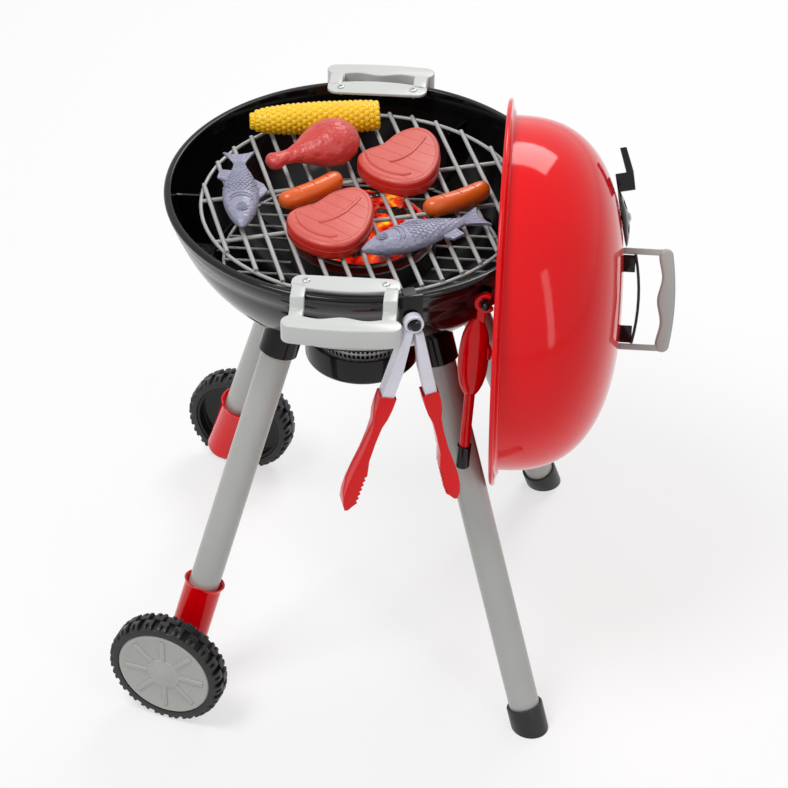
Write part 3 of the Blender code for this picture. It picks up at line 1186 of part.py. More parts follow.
def build_ball_peg(root, paint, envelope):
    """Peg with a ball end, with a collar that seats on the bowl's side."""
    foot = Vector((BALL_PEG_X, BALL_PEG_ROOT - BALL_PEG_OUT, BALL_PEG_HEIGHT))
    carrier = add_empty("lighter_peg_frame", root, axis_matrix(foot, -Y_AXIS, Z_AXIS))
    collar = BALL_PEG_COLLAR_OUT - (BALL_PEG_OUT - BALL_PEG_ROOT)
    ball = arc((0.0, BALL_PEG_ROOT), BALL_RADIUS, -42, 90, 6)
    profile = [(0.0, 0.0), (BALL_PEG_COLLAR, 0.0), (BALL_PEG_COLLAR, collar - BALL_PEG_RADIUS / 2),
               (BALL_PEG_COLLAR - BALL_PEG_RADIUS / 2, collar), (BALL_PEG_RADIUS, collar)]
    profile += [(BALL_PEG_RADIUS, BALL_PEG_ROOT - BALL_RADIUS)] + ball[:-1]
    profile += [(0.0, BALL_PEG_ROOT + BALL_RADIUS)]
    peg = add_piece("lighter_peg", turned(profile, PEG_SIDES), paint["black"], carrier)
    cut(peg, envelope)


def arm_outline(side, points):
    """Turn (outward, down) points of one arm of the tongs into the plane of the tongs."""
    angle = TONGS_LEAN + side * TONGS_SPREAD
    down = Vector((math.sin(angle), -math.cos(angle)))
    outward = side * Vector((math.cos(angle), math.sin(angle)))
    placed = [down * along + outward * across for across, along in points]
    return [(point.x, point.y) for point in placed]


def bow_points():
    """Half of the springy bow below the ring, slim where the two halves meet."""
    return [(BOW_OUT, ARM_START), (BOW_OUT, BOW_END), (-BOW_IN, BOW_END), (-BOW_IN, BOW_FULL),
            (-BOW_SLIM, ARM_START)]


def jaw_points():
    """Jaw in (outward, down): sleeve, waist and toothed spoon."""
    teeth = []
    pitch = (JAW_END - JAW_TIP - JAW_SPOON_START) / TOOTH_COUNT
    for number in range(TOOTH_COUNT, 0, -1):
        teeth.append((-JAW_SPOON_HALF + TOOTH_DEPTH, JAW_SPOON_START + number * pitch))
        teeth.append((-JAW_SPOON_HALF, JAW_SPOON_START + (number - 0.5) * pitch))
    top = BOW_END - JAW_OVERLAP
    outer = [(JAW_SLEEVE_HALF, top), (JAW_SLEEVE_HALF, JAW_SLEEVE_END), (JAW_NECK_HALF, JAW_WAIST),
             (JAW_NECK_HALF, JAW_SPOON_START - JAW_TIP), (JAW_SPOON_HALF, JAW_SPOON_START + JAW_TIP),
             (JAW_SPOON_HALF, JAW_END - JAW_TIP), (JAW_SPOON_HALF / 2, JAW_END),
             (-JAW_SPOON_HALF / 2, JAW_END)]
    inner = [(-JAW_SPOON_HALF + TOOTH_DEPTH, JAW_SPOON_START), (-JAW_NECK_HALF, JAW_SPOON_START - JAW_TIP),
             (-JAW_NECK_HALF, JAW_WAIST), (-JAW_SLEEVE_HALF, JAW_SLEEVE_END), (-JAW_SLEEVE_HALF, top)]
    return outer + teeth + inner


def build_tongs(root, paint, out, ring_out):
    """Ring with the left arm, the right arm that is squeezed towards it, and a jaw on each."""
    drop = RING_INNER * math.cos(math.pi / RING_SIDES) - PEG_RADIUS - GAP
    centre = out * ring_out + Z_AXIS * (RIM_HEIGHT - PEG_DROP - drop)
    hang = add_empty("tongs_hang", root, axis_matrix(centre, out, Z_AXIS.cross(out)))
    squeeze = add_empty("tongs_squeeze", hang)
    ring = ring_outline(RING_INNER, RING_INNER + RING_WALL, -RING_WIDTH / 2, RING_WIDTH / 2)
    bow = add_piece("tongs_bow", turned(ring, RING_SIDES), paint["white"], hang)
    fixed = add_tool("bow_arm", prism(arm_outline(-1, bow_points()), -BOW_WIDTH / 2, BOW_WIDTH / 2), hang)
    join(bow, fixed)
    cut(bow, add_tool("ring_bore", rod((0, 0, -BOW_WIDTH), (0, 0, BOW_WIDTH), RING_INNER, RING_SIDES), hang))
    lower = [(across, along + BOW_SPLIT if along == ARM_START else along) for across, along in bow_points()]
    arm = prism(arm_outline(1, lower), -BOW_WIDTH / 2, BOW_WIDTH / 2)
    add_piece("tongs_right_arm", arm, paint["white"], squeeze)
    for side, carrier, name in ((-1, hang, "tongs_left_jaw"), (1, squeeze, "tongs_right_jaw")):
        solid = prism(arm_outline(side, jaw_points()), -JAW_WIDTH / 2, JAW_WIDTH / 2)
        jaw = add_piece(name, solid, paint["red"], carrier)
        top, bottom = BOW_END - JAW_OVERLAP - OVERRUN, BOW_END + GAP
        left, right = BOW_OUT + GAP, -BOW_IN - GAP
        pocket = [(left, top), (left, bottom), (right, bottom), (right, top)]
        depth = BOW_WIDTH / 2 + GAP
        cut(jaw, add_tool(name + "_pocket", prism(arm_outline(side, pocket), -depth, depth), carrier))


def standing_prism(outline, thickness):
    """Raise an (x, z) outline to a thickness either side of y = 0."""
    bm = prism(outline, -thickness / 2, thickness / 2)
    bmesh.ops.transform(bm, verts=bm.verts, matrix=Matrix.Rotation(math.pi / 2, 4, "X"))
    return bm


def build_lighter(root, paint):
    """Toy lighter that hangs by its open hook, with a trigger and a black nozzle."""
    drop = HOOK_INNER * math.cos(math.pi / HOOK_STEPS) - BALL_PEG_RADIUS - GAP
    centre = (BALL_PEG_X, -HOOK_PLANE_OUT, BALL_PEG_HEIGHT - drop)
    up = Vector((math.sin(LIGHTER_LEAN), 0, math.cos(LIGHTER_LEAN)))
    hang = add_empty("lighter_hang", root, axis_matrix(centre, up, X_AXIS))
    sections = []
    for along, share in LIGHTER_SECTION_SHARES:
        sections.append((-LIGHTER_TOP - LIGHTER_LENGTH * along, LIGHTER_SHIFT,
                         LIGHTER_HALF_WIDTH * share, LIGHTER_HALF_DEPTH * share))
    body = add_piece("lighter_body", loft(sections, BODY_SIDES), paint["red"], hang)
    opening = (math.degrees(HOOK_HIGH_ANGLE), math.degrees(HOOK_LOW_ANGLE))
    hook = arc((0.0, 0.0), HOOK_INNER + HOOK_WALL, *opening, HOOK_STEPS)
    hook += arc((0.0, 0.0), HOOK_INNER, *reversed(opening), HOOK_STEPS)
    join(body, add_tool("lighter_hook", standing_prism(hook, HOOK_WIDTH), hang))
    neck_low, neck_high = -LIGHTER_TOP - HOOK_WALL, -HOOK_INNER - HOOK_WALL / 2
    neck_size = (2 * HOOK_WALL, HOOK_WIDTH - 2 * GAP, neck_high - neck_low)
    neck = box(neck_size, (LIGHTER_SHIFT / 2, 0, (neck_low + neck_high) / 2))
    join(body, add_tool("lighter_neck", neck, hang))
    low = -LIGHTER_TOP - LIGHTER_LENGTH
    end = low - BARREL_LENGTH
    barrel = rod((LIGHTER_SHIFT, 0, low + HOOK_WALL), (LIGHTER_SHIFT, 0, end), BARREL_RADIUS, BODY_SIDES)
    join(body, add_tool("lighter_barrel", barrel, hang))
    slot_in = TRIGGER_ROOT - TRIGGER_TRAVEL - GAP
    slot = box((LIGHTER_HALF_WIDTH, TRIGGER_WIDTH + 2 * GAP, TRIGGER_HEIGHT + 2 * GAP),
               (slot_in + LIGHTER_HALF_WIDTH / 2, 0, -TRIGGER_DROP - TRIGGER_HEIGHT / 2))
    cut(body, add_tool("trigger_slot", slot, hang))
    press = add_empty("lighter_trigger_press", hang)
    outline = [(TRIGGER_ROOT + (TRIGGER_OUT - TRIGGER_ROOT) * across, -TRIGGER_DROP - TRIGGER_HEIGHT * down)
               for across, down in TRIGGER_SHARES]
    add_piece("lighter_trigger", standing_prism(outline, TRIGGER_WIDTH), paint["black"], press)
    inner = BARREL_RADIUS + GAP
    tip = end + NOZZLE_OVERLAP - NOZZLE_LENGTH
    dimple, top = tip + NOZZLE_DIMPLE, end + NOZZLE_OVERLAP
    nozzle = [(0.0, dimple), (NOZZLE_RADIUS / 2, dimple), (NOZZLE_RADIUS - NOZZLE_DIMPLE, tip),
              (NOZZLE_RADIUS, dimple), (NOZZLE_RADIUS, top), (inner, top), (inner, end - GAP),
              (0.0, end - GAP)]
    muzzle = add_piece("lighter_nozzle", turned(nozzle, BODY_SIDES), paint["black"], hang)
    muzzle.location = (LIGHTER_SHIFT, 0, 0)


def food_place(root, name, place, turn, sink=0.0):
    """Empty on top of the rods under a piece of food."""
    x, y = place
    seat = Vector((x * FOOD_SCALE, y * FOOD_SCALE, FOOD_HEIGHT - sink * FOOD_SCALE))
    return add_empty(name + "_lift", root, Matrix.Translation(seat) @ Matrix.Rotation(turn, 4, "Z"))


def sized(bm):
    """Size a piece of food to the grate it lies on."""
    bmesh.ops.scale(bm, vec=(FOOD_SCALE, FOOD_SCALE, FOOD_SCALE), verts=bm.verts)
    return bm


def lying_turned(shares, length, radius, squash, flip):
    """A turned shape laid on its side along X, with its bottom at zero."""
    bm = turned([(radius * share, length * along) for along, share in shares], FOOD_SIDES)
    lay = Matrix.Translation((-flip * length / 2, 0, radius * squash)) @ Matrix.Diagonal((1, 1, squash, 1))
    bmesh.ops.transform(bm, verts=bm.verts, matrix=lay @ axis_matrix((0, 0, 0), flip * X_AXIS, Z_AXIS))
    return bm


def build_steak(name, place, turn, root, paint):
    lift = food_place(root, name, place, turn)
    outline = smooth_loop([(x * STEAK_WIDTH, y * STEAK_LENGTH) for x, y in STEAK_OUTLINE_SHARES], 2)
    steak = add_piece(name, sized(prism(outline, 0.0, STEAK_THICK)), paint["steak"], lift)
    round_edges(steak, STEAK_ROUND * FOOD_SCALE, 2)


def build_sausage(name, place, turn, root, paint):
    """A bent sausage with rounded ends."""
    lift = food_place(root, name, place, turn)
    sections = []
    for share, size in SAUSAGE_SECTION_SHARES:
        bend = SAUSAGE_BEND * (1 - (2 * share - 1) ** 2)
        sections.append(((share - 0.5) * SAUSAGE_LENGTH, bend, SAUSAGE_RADIUS * size, SAUSAGE_RADIUS * size))
    bm = loft(sections, FOOD_SIDES)
    lay = Matrix.Translation((0, -SAUSAGE_BEND / 2, SAUSAGE_RADIUS)) @ axis_matrix((0, 0, 0), X_AXIS, Y_AXIS)
    bmesh.ops.transform(bm, verts=bm.verts, matrix=lay)
    add_piece(name, sized(bm), paint["sausage"], lift)


def build_fish(name, place, turn, sink, flip, root, paint):
    """A fish on its side: rounded body, forked tail and two fins."""
    lift = food_place(root, name, place, turn, sink)
    sections = [((along - 0.5) * FISH_LENGTH, 0.0, FISH_HEIGHT / 2 * high, FISH_THICK / 2 * thick)
                for along, high, thick in FISH_SECTION_SHARES]
    lay = Matrix.Translation((0, 0, FISH_THICK / 2))
    bm = loft(sections, FOOD_SIDES)
    bmesh.ops.transform(bm, verts=bm.verts, matrix=lay @ axis_matrix((0, 0, 0), X_AXIS, Y_AXIS))
    fish = add_piece(name, sized(bm), paint["fish"], lift)
    fins = (("tail", FISH_TAIL_SHARES), ("dorsal", FISH_DORSAL_SHARES), ("belly", FISH_BELLY_SHARES))
    middle = FISH_THICK / 2
    for part, shares in fins:
        outline = [((along - 0.5) * FISH_LENGTH, flip * high * FISH_HEIGHT) for along, high in shares]
        fin = prism(outline, middle - FISH_FIN_THICK / 2, middle + FISH_FIN_THICK / 2)
        join(fish, add_tool(f"{name}_{part}", sized(fin), lift))


def build_food(root, paint):
    lift = food_place(root, "corn", CORN_PLACE, CORN_TURN)
    cob = lying_turned(CORN_PROFILE_SHARES, CORN_LENGTH, CORN_RADIUS, 1, -1)
    add_piece("corn", sized(cob), paint["corn"], lift)
    lift = food_place(root, "drumstick", DRUM_PLACE, DRUM_TURN)
    drum = lying_turned(DRUM_PROFILE_SHARES, DRUM_LENGTH, DRUM_RADIUS, DRUM_SQUASH_RATIO, 1)
    add_piece("drumstick", sized(drum), paint["meat"], lift)
    build_steak("rear_steak", REAR_STEAK_PLACE, REAR_STEAK_TURN, root, paint)
    build_steak("front_steak", FRONT_STEAK_PLACE, FRONT_STEAK_TURN, root, paint)
    build_sausage("left_sausage", LEFT_SAUSAGE_PLACE, LEFT_SAUSAGE_TURN, root, paint)
    build_sausage("right_sausage", RIGHT_SAUSAGE_PLACE, RIGHT_SAUSAGE_TURN, root, paint)
    build_fish("front_fish", FRONT_FISH_PLACE, FRONT_FISH_TURN, 0.0, 1, root, paint)
    build_fish("left_fish", LEFT_FISH_PLACE, LEFT_FISH_TURN, LEFT_FISH_SINK, -1, root, paint)


def make_paints():
    return {
        "black": make_material("gloss_black_paint", (0.012, 0.011, 0.012), 0.18),
        "black_soft": make_material("black_plastic", (0.02, 0.02, 0.021), 0.45),
        "red": make_material("red_plastic", (0.72, 0.004, 0.008), 0.25),
        "light_grey": make_material("light_grey_plastic", (0.62, 0.63, 0.61), 0.35),
        "dark_grey": make_material("dark_grey_plastic", (0.06, 0.06, 0.063), 0.5),
        "leg_grey": make_material("leg_grey_plastic", (0.37, 0.38, 0.35), 0.4),
        "hub_grey": make_material("hubcap_grey_plastic", (0.45, 0.46, 0.44), 0.4),
        "grate_grey": make_material("grate_grey_plastic", (0.38, 0.39, 0.38), 0.4),
        "silver": make_material("silver_plastic", (0.5, 0.5, 0.5), 0.3, 0.6),
        "steel": make_material("steel", (0.5, 0.5, 0.5), 0.3, 1.0),
        "tyre": make_material("tyre_plastic", (0.025, 0.025, 0.025), 0.6),
        "white": make_material("white_plastic", (0.85, 0.84, 0.9), 0.3),
        "battery": make_material("battery_sleeve", (0.05, 0.05, 0.06), 0.4),
        "lamp": make_material("lamp_resin", (0.9, 0.45, 0.15), 0.2),
        "coal": make_material("coal_resin", (0.45, 0.08, 0.02), 0.35),
        "corn": make_material("corn_plastic", (0.9, 0.56, 0.02), 0.4),
        "meat": make_material("meat_plastic", (0.6, 0.06, 0.05), 0.4),
        "steak": make_material("steak_plastic", (0.62, 0.17, 0.13), 0.4),
        "sausage": make_material("sausage_plastic", (0.7, 0.13, 0.02), 0.4),
        "fish": make_material("fish_plastic", (0.27, 0.28, 0.37), 0.4),
    }


def centre_footprint(root):
    """Move the toy so that the middle of its footprint is the origin."""
    bpy.context.view_layer.update()
    depsgraph = bpy.context.evaluated_depsgraph_get()
    corners = []
    for item in bpy.data.objects:
        if item.type == "MESH" and not item.hide_render:
            shape = item.evaluated_get(depsgraph)
            corners += [shape.matrix_world @ vert.co for vert in shape.data.vertices]
    low = Vector([min(corner[axis] for corner in corners) for axis in range(3)])
    high = Vector([max(corner[axis] for corner in corners) for axis in range(3)])
    root.location = (-(low.x + high.x) / 2, -(low.y + high.y) / 2, -low.z)
    bpy.context.view_layer.update()


def main():
    clear_scene()
    paint = make_paints()
    root = add_empty("barbecue", None)
    envelope = add_belly_envelope(root)
    build_bowl(root, paint)
    build_side_handle(root, paint, -1, "front_handle")
    build_side_handle(root, paint, 1, "rear_handle")
    build_handle_screws(root, paint)
    for side, place in ((-1, "front"), (1, "rear")):
        build_leg(root, paint, envelope, "wheel", side, place + "_left_leg")
        build_leg(root, paint, envelope, "foot", side, place + "_right_leg")
        build_foot_cap(root, paint, side, place + "_foot_cap")
        head_seat = build_sleeve(root, paint, side, place + "_wheel_sleeve")
        build_axle(root, paint, side, place + "_axle", head_seat)
        build_wheel(root, paint, side, place + "_wheel")
    build_ash_catcher(root, paint)
    build_cooking_grate(root, paint)
    charcoal = build_charcoal_grate(root, paint)
    build_fire_unit(charcoal, paint)
    build_lid(root, paint)
    out, ring_out = build_tongs_clip(root, paint)
    build_ball_peg(root, paint, envelope)
    build_tongs(root, paint, out, ring_out)
    build_lighter(root, paint)
    build_food(root, paint)
    centre_footprint(root)


main()
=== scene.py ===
# %% [markdown]
# A toy kettle barbecue, dressed for a picture. The solids of the toy come in as a fixed frame, at
# their real size in metres. Each piece is then given its moulded detail and its plastic, and rides
# on the frame's own body, so that it moves when the toy does.

# %% Bring in the frame
import json
import math
import random

import bpy
from mathutils import Matrix, Vector

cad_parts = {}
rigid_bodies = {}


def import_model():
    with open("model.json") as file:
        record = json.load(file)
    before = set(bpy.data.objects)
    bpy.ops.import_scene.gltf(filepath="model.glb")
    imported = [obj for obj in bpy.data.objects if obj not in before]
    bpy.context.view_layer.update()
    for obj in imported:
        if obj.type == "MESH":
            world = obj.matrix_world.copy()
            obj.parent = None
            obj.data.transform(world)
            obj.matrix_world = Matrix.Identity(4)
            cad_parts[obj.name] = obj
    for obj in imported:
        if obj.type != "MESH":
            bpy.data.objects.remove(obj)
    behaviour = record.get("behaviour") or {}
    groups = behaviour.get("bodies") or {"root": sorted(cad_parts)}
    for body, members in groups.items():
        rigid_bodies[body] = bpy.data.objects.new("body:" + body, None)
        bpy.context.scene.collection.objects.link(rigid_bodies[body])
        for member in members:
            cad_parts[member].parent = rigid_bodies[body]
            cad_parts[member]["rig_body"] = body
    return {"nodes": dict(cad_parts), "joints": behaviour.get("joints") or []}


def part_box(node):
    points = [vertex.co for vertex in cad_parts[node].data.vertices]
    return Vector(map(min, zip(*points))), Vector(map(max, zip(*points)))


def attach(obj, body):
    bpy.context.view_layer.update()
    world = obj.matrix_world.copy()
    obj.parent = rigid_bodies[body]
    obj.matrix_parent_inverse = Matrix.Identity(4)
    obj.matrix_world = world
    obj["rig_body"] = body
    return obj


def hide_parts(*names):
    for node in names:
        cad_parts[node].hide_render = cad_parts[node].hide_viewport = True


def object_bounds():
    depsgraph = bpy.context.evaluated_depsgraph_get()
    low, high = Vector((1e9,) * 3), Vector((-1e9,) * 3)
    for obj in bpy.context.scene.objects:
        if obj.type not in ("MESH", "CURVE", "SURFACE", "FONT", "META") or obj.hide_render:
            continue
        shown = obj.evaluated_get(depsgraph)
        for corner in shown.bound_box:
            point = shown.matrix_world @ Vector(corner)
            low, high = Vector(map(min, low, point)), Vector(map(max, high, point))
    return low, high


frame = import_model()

CAD_LOW, CAD_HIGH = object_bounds()
MM, TAU = 0.001, math.tau
NO_MOVE = Matrix.Identity(4)
NODES = frame["nodes"]
BODY_OF = {name: node["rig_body"] for name, node in NODES.items()}
JOINTS = {joint["name"]: joint for joint in frame["joints"]}

# %% [markdown]
# Most steps repeat a few moves: select one piece, open it in edit mode, apply a modifier. Operators
# act on whatever is selected, so each helper first deselects everything.

# %% Helpers for selecting and applying
MERGE_GAP, FINE_MERGE, FLAT_ANGLE, EDGE_ANGLE = 0.01 * MM, 0.005 * MM, math.radians(0.6), math.radians(32)
NEARLY_ALONG = 0.9


def select_only(*items):
    bpy.ops.object.select_all(action="DESELECT")
    for item in items:
        item.select_set(True)
    bpy.context.view_layer.objects.active = items[0]


def fresh(add, **settings):
    """A new object from an add operator, with nothing else selected."""
    bpy.ops.object.select_all(action="DESELECT")
    add(**settings)
    return bpy.context.object


def edit(piece):
    select_only(piece)
    bpy.ops.object.mode_set(mode="EDIT")
    bpy.ops.mesh.select_mode(type="VERT")
    bpy.ops.mesh.select_all(action="SELECT")


def leave_edit():
    bpy.ops.object.mode_set(mode="OBJECT")


def tidy_mesh(piece):
    """Merge doubles and point all faces outwards."""
    edit(piece)
    bpy.ops.mesh.remove_doubles(threshold=MERGE_GAP)
    bpy.ops.mesh.normals_make_consistent(inside=False)
    leave_edit()


def use(piece, kind, **settings):
    """Add a modifier and apply it at once."""
    change = piece.modifiers.new(kind.lower(), kind)
    for name, value in settings.items():
        setattr(change, name, value)
    select_only(piece)
    bpy.ops.object.modifier_apply(modifier=change.name)


def round_edges(piece, width, segments=3):
    use(piece, "BEVEL", width=width, segments=segments, limit_method="ANGLE", angle_limit=EDGE_ANGLE)


def smooth_out(piece, levels=2):
    use(piece, "SUBSURF", levels=levels, render_levels=levels)


def put(piece, matrix):
    """Move a piece to its place and keep that place in its mesh."""
    piece.matrix_world = matrix @ piece.matrix_world
    select_only(piece)
    bpy.ops.object.transform_apply(location=True, rotation=True, scale=True)
    return piece


def join(pieces):
    select_only(*pieces)
    bpy.ops.object.join()
    return pieces[0]


def twin(piece, matrix=None):
    """A copy with its own mesh, moved by a matrix."""
    copy = piece.copy()
    copy.data = piece.data.copy()
    bpy.context.collection.objects.link(copy)
    if matrix:
        put(copy, matrix)
    return copy


def cut(piece, cutter, operation="DIFFERENCE"):
    use(piece, "BOOLEAN", object=cutter, operation=operation, solver="EXACT")
    bpy.data.objects.remove(cutter)


def box_middle(node):
    low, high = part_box(node)
    return (low + high) / 2


def axis_place(origin, z_direction, x_hint=(1, 0, 0)):
    """A place whose Z axis runs along a direction and whose X axis is nearest to a hint."""
    z = Vector(z_direction).normalized()
    y = z.cross(Vector(x_hint)).normalized()
    return Matrix.Translation(Vector(origin)) @ Matrix((y.cross(z), y, z)).transposed().to_4x4()


print("helpers ready")

# %% [markdown]
# A finished piece gets its material, smooth shading and the body that it rides on. It stands for one
# or more solids of the frame, which are then hidden.

# %% Hand a piece to its body
def keep(piece, paint, *nodes, smooth=34, slot=None):
    put(piece, NO_MOVE)
    bpy.ops.object.shade_smooth_by_angle(angle=math.radians(smooth))
    piece.name = piece.data.name = nodes[0] + "_finished"
    if paint:
        piece.data.materials.clear()
        piece.data.materials.append(paint)
    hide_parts(*nodes)
    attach(piece, BODY_OF[nodes[0]])
    print(piece.name, "on", BODY_OF[nodes[0]], len(piece.data.polygons), "faces")
    return piece


# %% [markdown]
# Four ways of starting a shape cover this toy: a profile that is spun, a flat outline that is raised,
# a body that is drawn out ring by ring, and a copy of a solid with its moulded edges rounded.

# %% Draw a line, point by point
def line_through(points):
    """One point, extruded from place to place. The line stays open and selected in edit mode."""
    piece = fresh(bpy.ops.mesh.primitive_plane_add, size=MM)
    edit(piece)
    bpy.ops.mesh.merge(type="CENTER")
    bpy.ops.transform.translate(value=points[0])
    for start, end in zip(points, points[1:]):
        move = [b - a for a, b in zip(start, end)]
        bpy.ops.mesh.extrude_region_move(TRANSFORM_OT_translate={"value": move})
    bpy.ops.mesh.select_all(action="SELECT")
    return piece


# %% Spin a profile
def spun(profile, steps=96):
    """Spin (radius, height) points about Z. A loop is closed by repeating its first point."""
    piece = line_through([(radius, 0, height) for radius, height in profile])
    bpy.ops.mesh.spin(steps=steps, angle=TAU, center=(0, 0, 0), axis=(0, 0, 1))
    leave_edit()
    tidy_mesh(piece)
    return piece


# %% Raise a flat outline
def raised(outline, low, high, edge=0.0, segments=3):
    """Raise an (x, y) outline from one height to another and round its edges."""
    piece = line_through([(x, y, low) for x, y in outline])
    bpy.ops.mesh.edge_face_add()
    bpy.ops.mesh.extrude_region_move(TRANSFORM_OT_translate={"value": (0, 0, high - low)})
    leave_edit()
    tidy_mesh(piece)
    if edge:
        round_edges(piece, edge, segments)
    return piece


# %% Draw out a body ring by ring
def drawn(sections, sides=20):
    """Rings of (height, middle x, half x, half y), each extruded from the one before."""
    height, middle, half_x, half_y = sections[0]
    piece = fresh(bpy.ops.mesh.primitive_circle_add, vertices=sides, radius=1, fill_type="NGON")
    edit(piece)
    bpy.ops.transform.resize(value=(half_x, half_y, 1))
    bpy.ops.transform.translate(value=(middle, 0, height))
    for section in sections[1:]:
        move = (section[1] - middle, 0, section[0] - height)
        bpy.ops.mesh.extrude_region_move(TRANSFORM_OT_translate={"value": move})
        grow = (section[2] / half_x, section[3] / half_y, 1)
        bpy.ops.transform.resize(value=grow, center_override=(section[1], 0, section[0]))
        height, middle, half_x, half_y = section
    leave_edit()
    tidy_mesh(piece)
    return piece


# %% Copy a solid and round its edges
def moulded(node, edge=0.5 * MM, segments=2):
    piece = NODES[node].copy()
    piece.data = piece.data.copy()
    piece.parent = None
    for key in list(piece.keys()):
        del piece[key]
    bpy.context.collection.objects.link(piece)
    edit(piece)
    bpy.ops.mesh.remove_doubles(threshold=FINE_MERGE)
    bpy.ops.mesh.dissolve_limited(angle_limit=FLAT_ANGLE)
    leave_edit()
    if edge:
        round_edges(piece, edge, segments)
    return piece


def block(size, middle, edge=0.0):
    """A bar with rounded edges."""
    piece = put(fresh(bpy.ops.mesh.primitive_cube_add, size=1, location=middle, scale=size), NO_MOVE)
    if edge:
        round_edges(piece, edge)
    return piece


def bar(start, end, radius, sides=14):
    """A round wire between two points."""
    start, end = Vector(start), Vector(end)
    piece = fresh(bpy.ops.mesh.primitive_cylinder_add, vertices=sides, radius=radius, depth=(end - start).length)
    hint = (0, 1, 0) if abs((end - start).normalized().x) > NEARLY_ALONG else (1, 0, 0)
    return put(piece, axis_place((start + end) / 2, end - start, hint))


def wire_along(points, radius):
    """A round wire through many points: a line turned into a curve with thickness, then a mesh."""
    piece = line_through(points)
    leave_edit()
    tidy_mesh(piece)
    bpy.ops.object.convert(target="CURVE")
    curve = bpy.context.object.data
    curve.bevel_depth, curve.bevel_resolution, curve.use_fill_caps = radius, 2, True
    bpy.ops.object.convert(target="MESH")
    return bpy.context.object


def arc(middle, radius, first, last, steps):
    """Points along an arc, with its angles in degrees."""
    angles = [math.radians(first + (last - first) * step / steps) for step in range(steps + 1)]
    return [(middle[0] + radius * math.cos(a), middle[1] + radius * math.sin(a)) for a in angles]


def around_z(angle):
    return Matrix.Rotation(angle, 4, "Z")


ALONG_X = axis_place((0, 0, 0), (1, 0, 0), (0, 1, 0))
UPRIGHT = Matrix.Rotation(math.pi / 2, 4, "X")
print("shapes ready")

# %% [markdown]
# The toy is injection moulded in ABS and softer plastics. Colours are written as they show on a
# screen and turned to linear light. Moulded plastic is nearly even, with faint flow mottling, a skin
# that varies a little in gloss and a very fine texture from the mould. The IOR is set a little under
# that of solid plastic, so that black and red stay deep in a white room.

# %% Colours and nodes
def linear(code):
    """An sRGB hex colour as linear light."""
    values = [int(code[i:i + 2], 16) / 255 for i in (1, 3, 5)]
    return [v / 12.92 if v <= 0.04045 else ((v + 0.055) / 1.055) ** 2.4 for v in values] + [1.0]


def add_node(tree, kind, links=(), values=(), **settings):
    """One node with its settings, its socket values and what is linked into it."""
    node = tree.nodes.new(kind)
    for name, value in settings.items():
        setattr(node, name, value)
    for name, value in dict(values).items():
        node.inputs[name].default_value = value
    for name, source in dict(links).items():
        tree.links.new(source, node.inputs[name])
    return node


def blend_colours(tree, share, first, second):
    mix = add_node(tree, "ShaderNodeMix", {0: share}, {6: linear(first), 7: linear(second)},
                   data_type="RGBA")
    return mix.outputs[2]


def scale_for(millimetres):
    """Noise scale whose features are about this many millimetres across."""
    return 1000 / millimetres


def new_paint(name):
    """A material, its node tree, its shader and the object coordinates that its patterns lie in."""
    paint = bpy.data.materials.new(name)
    paint.use_nodes = True
    tree = paint.node_tree
    return paint, tree, tree.nodes["Principled BSDF"], add_node(tree, "ShaderNodeTexCoord").outputs["Object"]


def noise(tree, place, millimetres, detail=2):
    values = {"Scale": scale_for(millimetres), "Detail": detail}
    return add_node(tree, "ShaderNodeTexNoise", {"Vector": place}, values).outputs["Fac"]


def set_gloss(tree, shader, share, low, high):
    """Roughness that wanders between two values."""
    dull = add_node(tree, "ShaderNodeMapRange", {"Value": share}, {"To Min": low, "To Max": high})
    tree.links.new(dull.outputs["Result"], shader.inputs["Roughness"])


def set_bump(tree, shader, height, strength, depth):
    """A relief of a depth in millimetres."""
    bump = add_node(tree, "ShaderNodeBump", {"Height": height}, {"Strength": strength, "Distance": depth * MM})
    tree.links.new(bump.outputs["Normal"], shader.inputs["Normal"])


# %% Moulded plastic
GLOSS_SPREAD, GRAIN_STRENGTH, LUMP_STRENGTH = 0.03, 0.35, 0.7


def plastic(name, colour, shade, gloss, grain=0.9, depth=0.03, mottle=45, ior=1.46):
    """Moulded plastic: two close colours, uneven gloss and a fine mould texture, sizes in mm."""
    paint, tree, shader, place = new_paint(name)
    flow = blend_colours(tree, noise(tree, place, mottle, 3), colour, shade)
    tree.links.new(flow, shader.inputs["Base Color"])
    set_gloss(tree, shader, noise(tree, place, mottle / 4, 4), gloss - GLOSS_SPREAD, gloss + GLOSS_SPREAD)
    set_bump(tree, shader, noise(tree, place, grain), GRAIN_STRENGTH, depth)
    shader.inputs["IOR"].default_value = ior
    paint.diffuse_color = linear(colour)
    return paint


GLOSS_BLACK = plastic("moulded_black_abs", "#080708", "#0e0d0f", 0.10, depth=0.008, mottle=70, ior=1.36)
SOFT_BLACK = plastic("black_polyethylene", "#151516", "#1e1e1f", 0.38)
TYRE_BLACK = plastic("matt_black_polypropylene", "#161617", "#202021", 0.40, grain=1.2, depth=0.05)
RED = plastic("moulded_red_abs", "#e6000b", "#da000a", 0.09, depth=0.006, mottle=80, ior=1.33)
LEG_GREY = plastic("grey_styrene_tube", "#b4b5b2", "#aaaba8", 0.24, grain=1.5)
LIGHT_GREY = plastic("light_grey_abs", "#c9cbc9", "#bec0be", 0.26)
# The lid handle is the side handles' light grey plastic painted darker: painted shade for its shaded faces.
LID_GRIP_PAINTED_SHADE_GREY = plastic("shaded_grey_abs", "#acaeaa", "#a0a29e", 0.26)
HUB_GREY = plastic("hubcap_grey_abs", "#b3b4b0", "#a9aaa6", 0.27)
GRATE_GREY = plastic("grate_grey_abs", "#b0b2b0", "#a2a4a2", 0.24, mottle=20)
DARK_GREY = plastic("grained_charcoal_abs", "#303032", "#3c3c3e", 0.45, grain=0.7, depth=0.06)
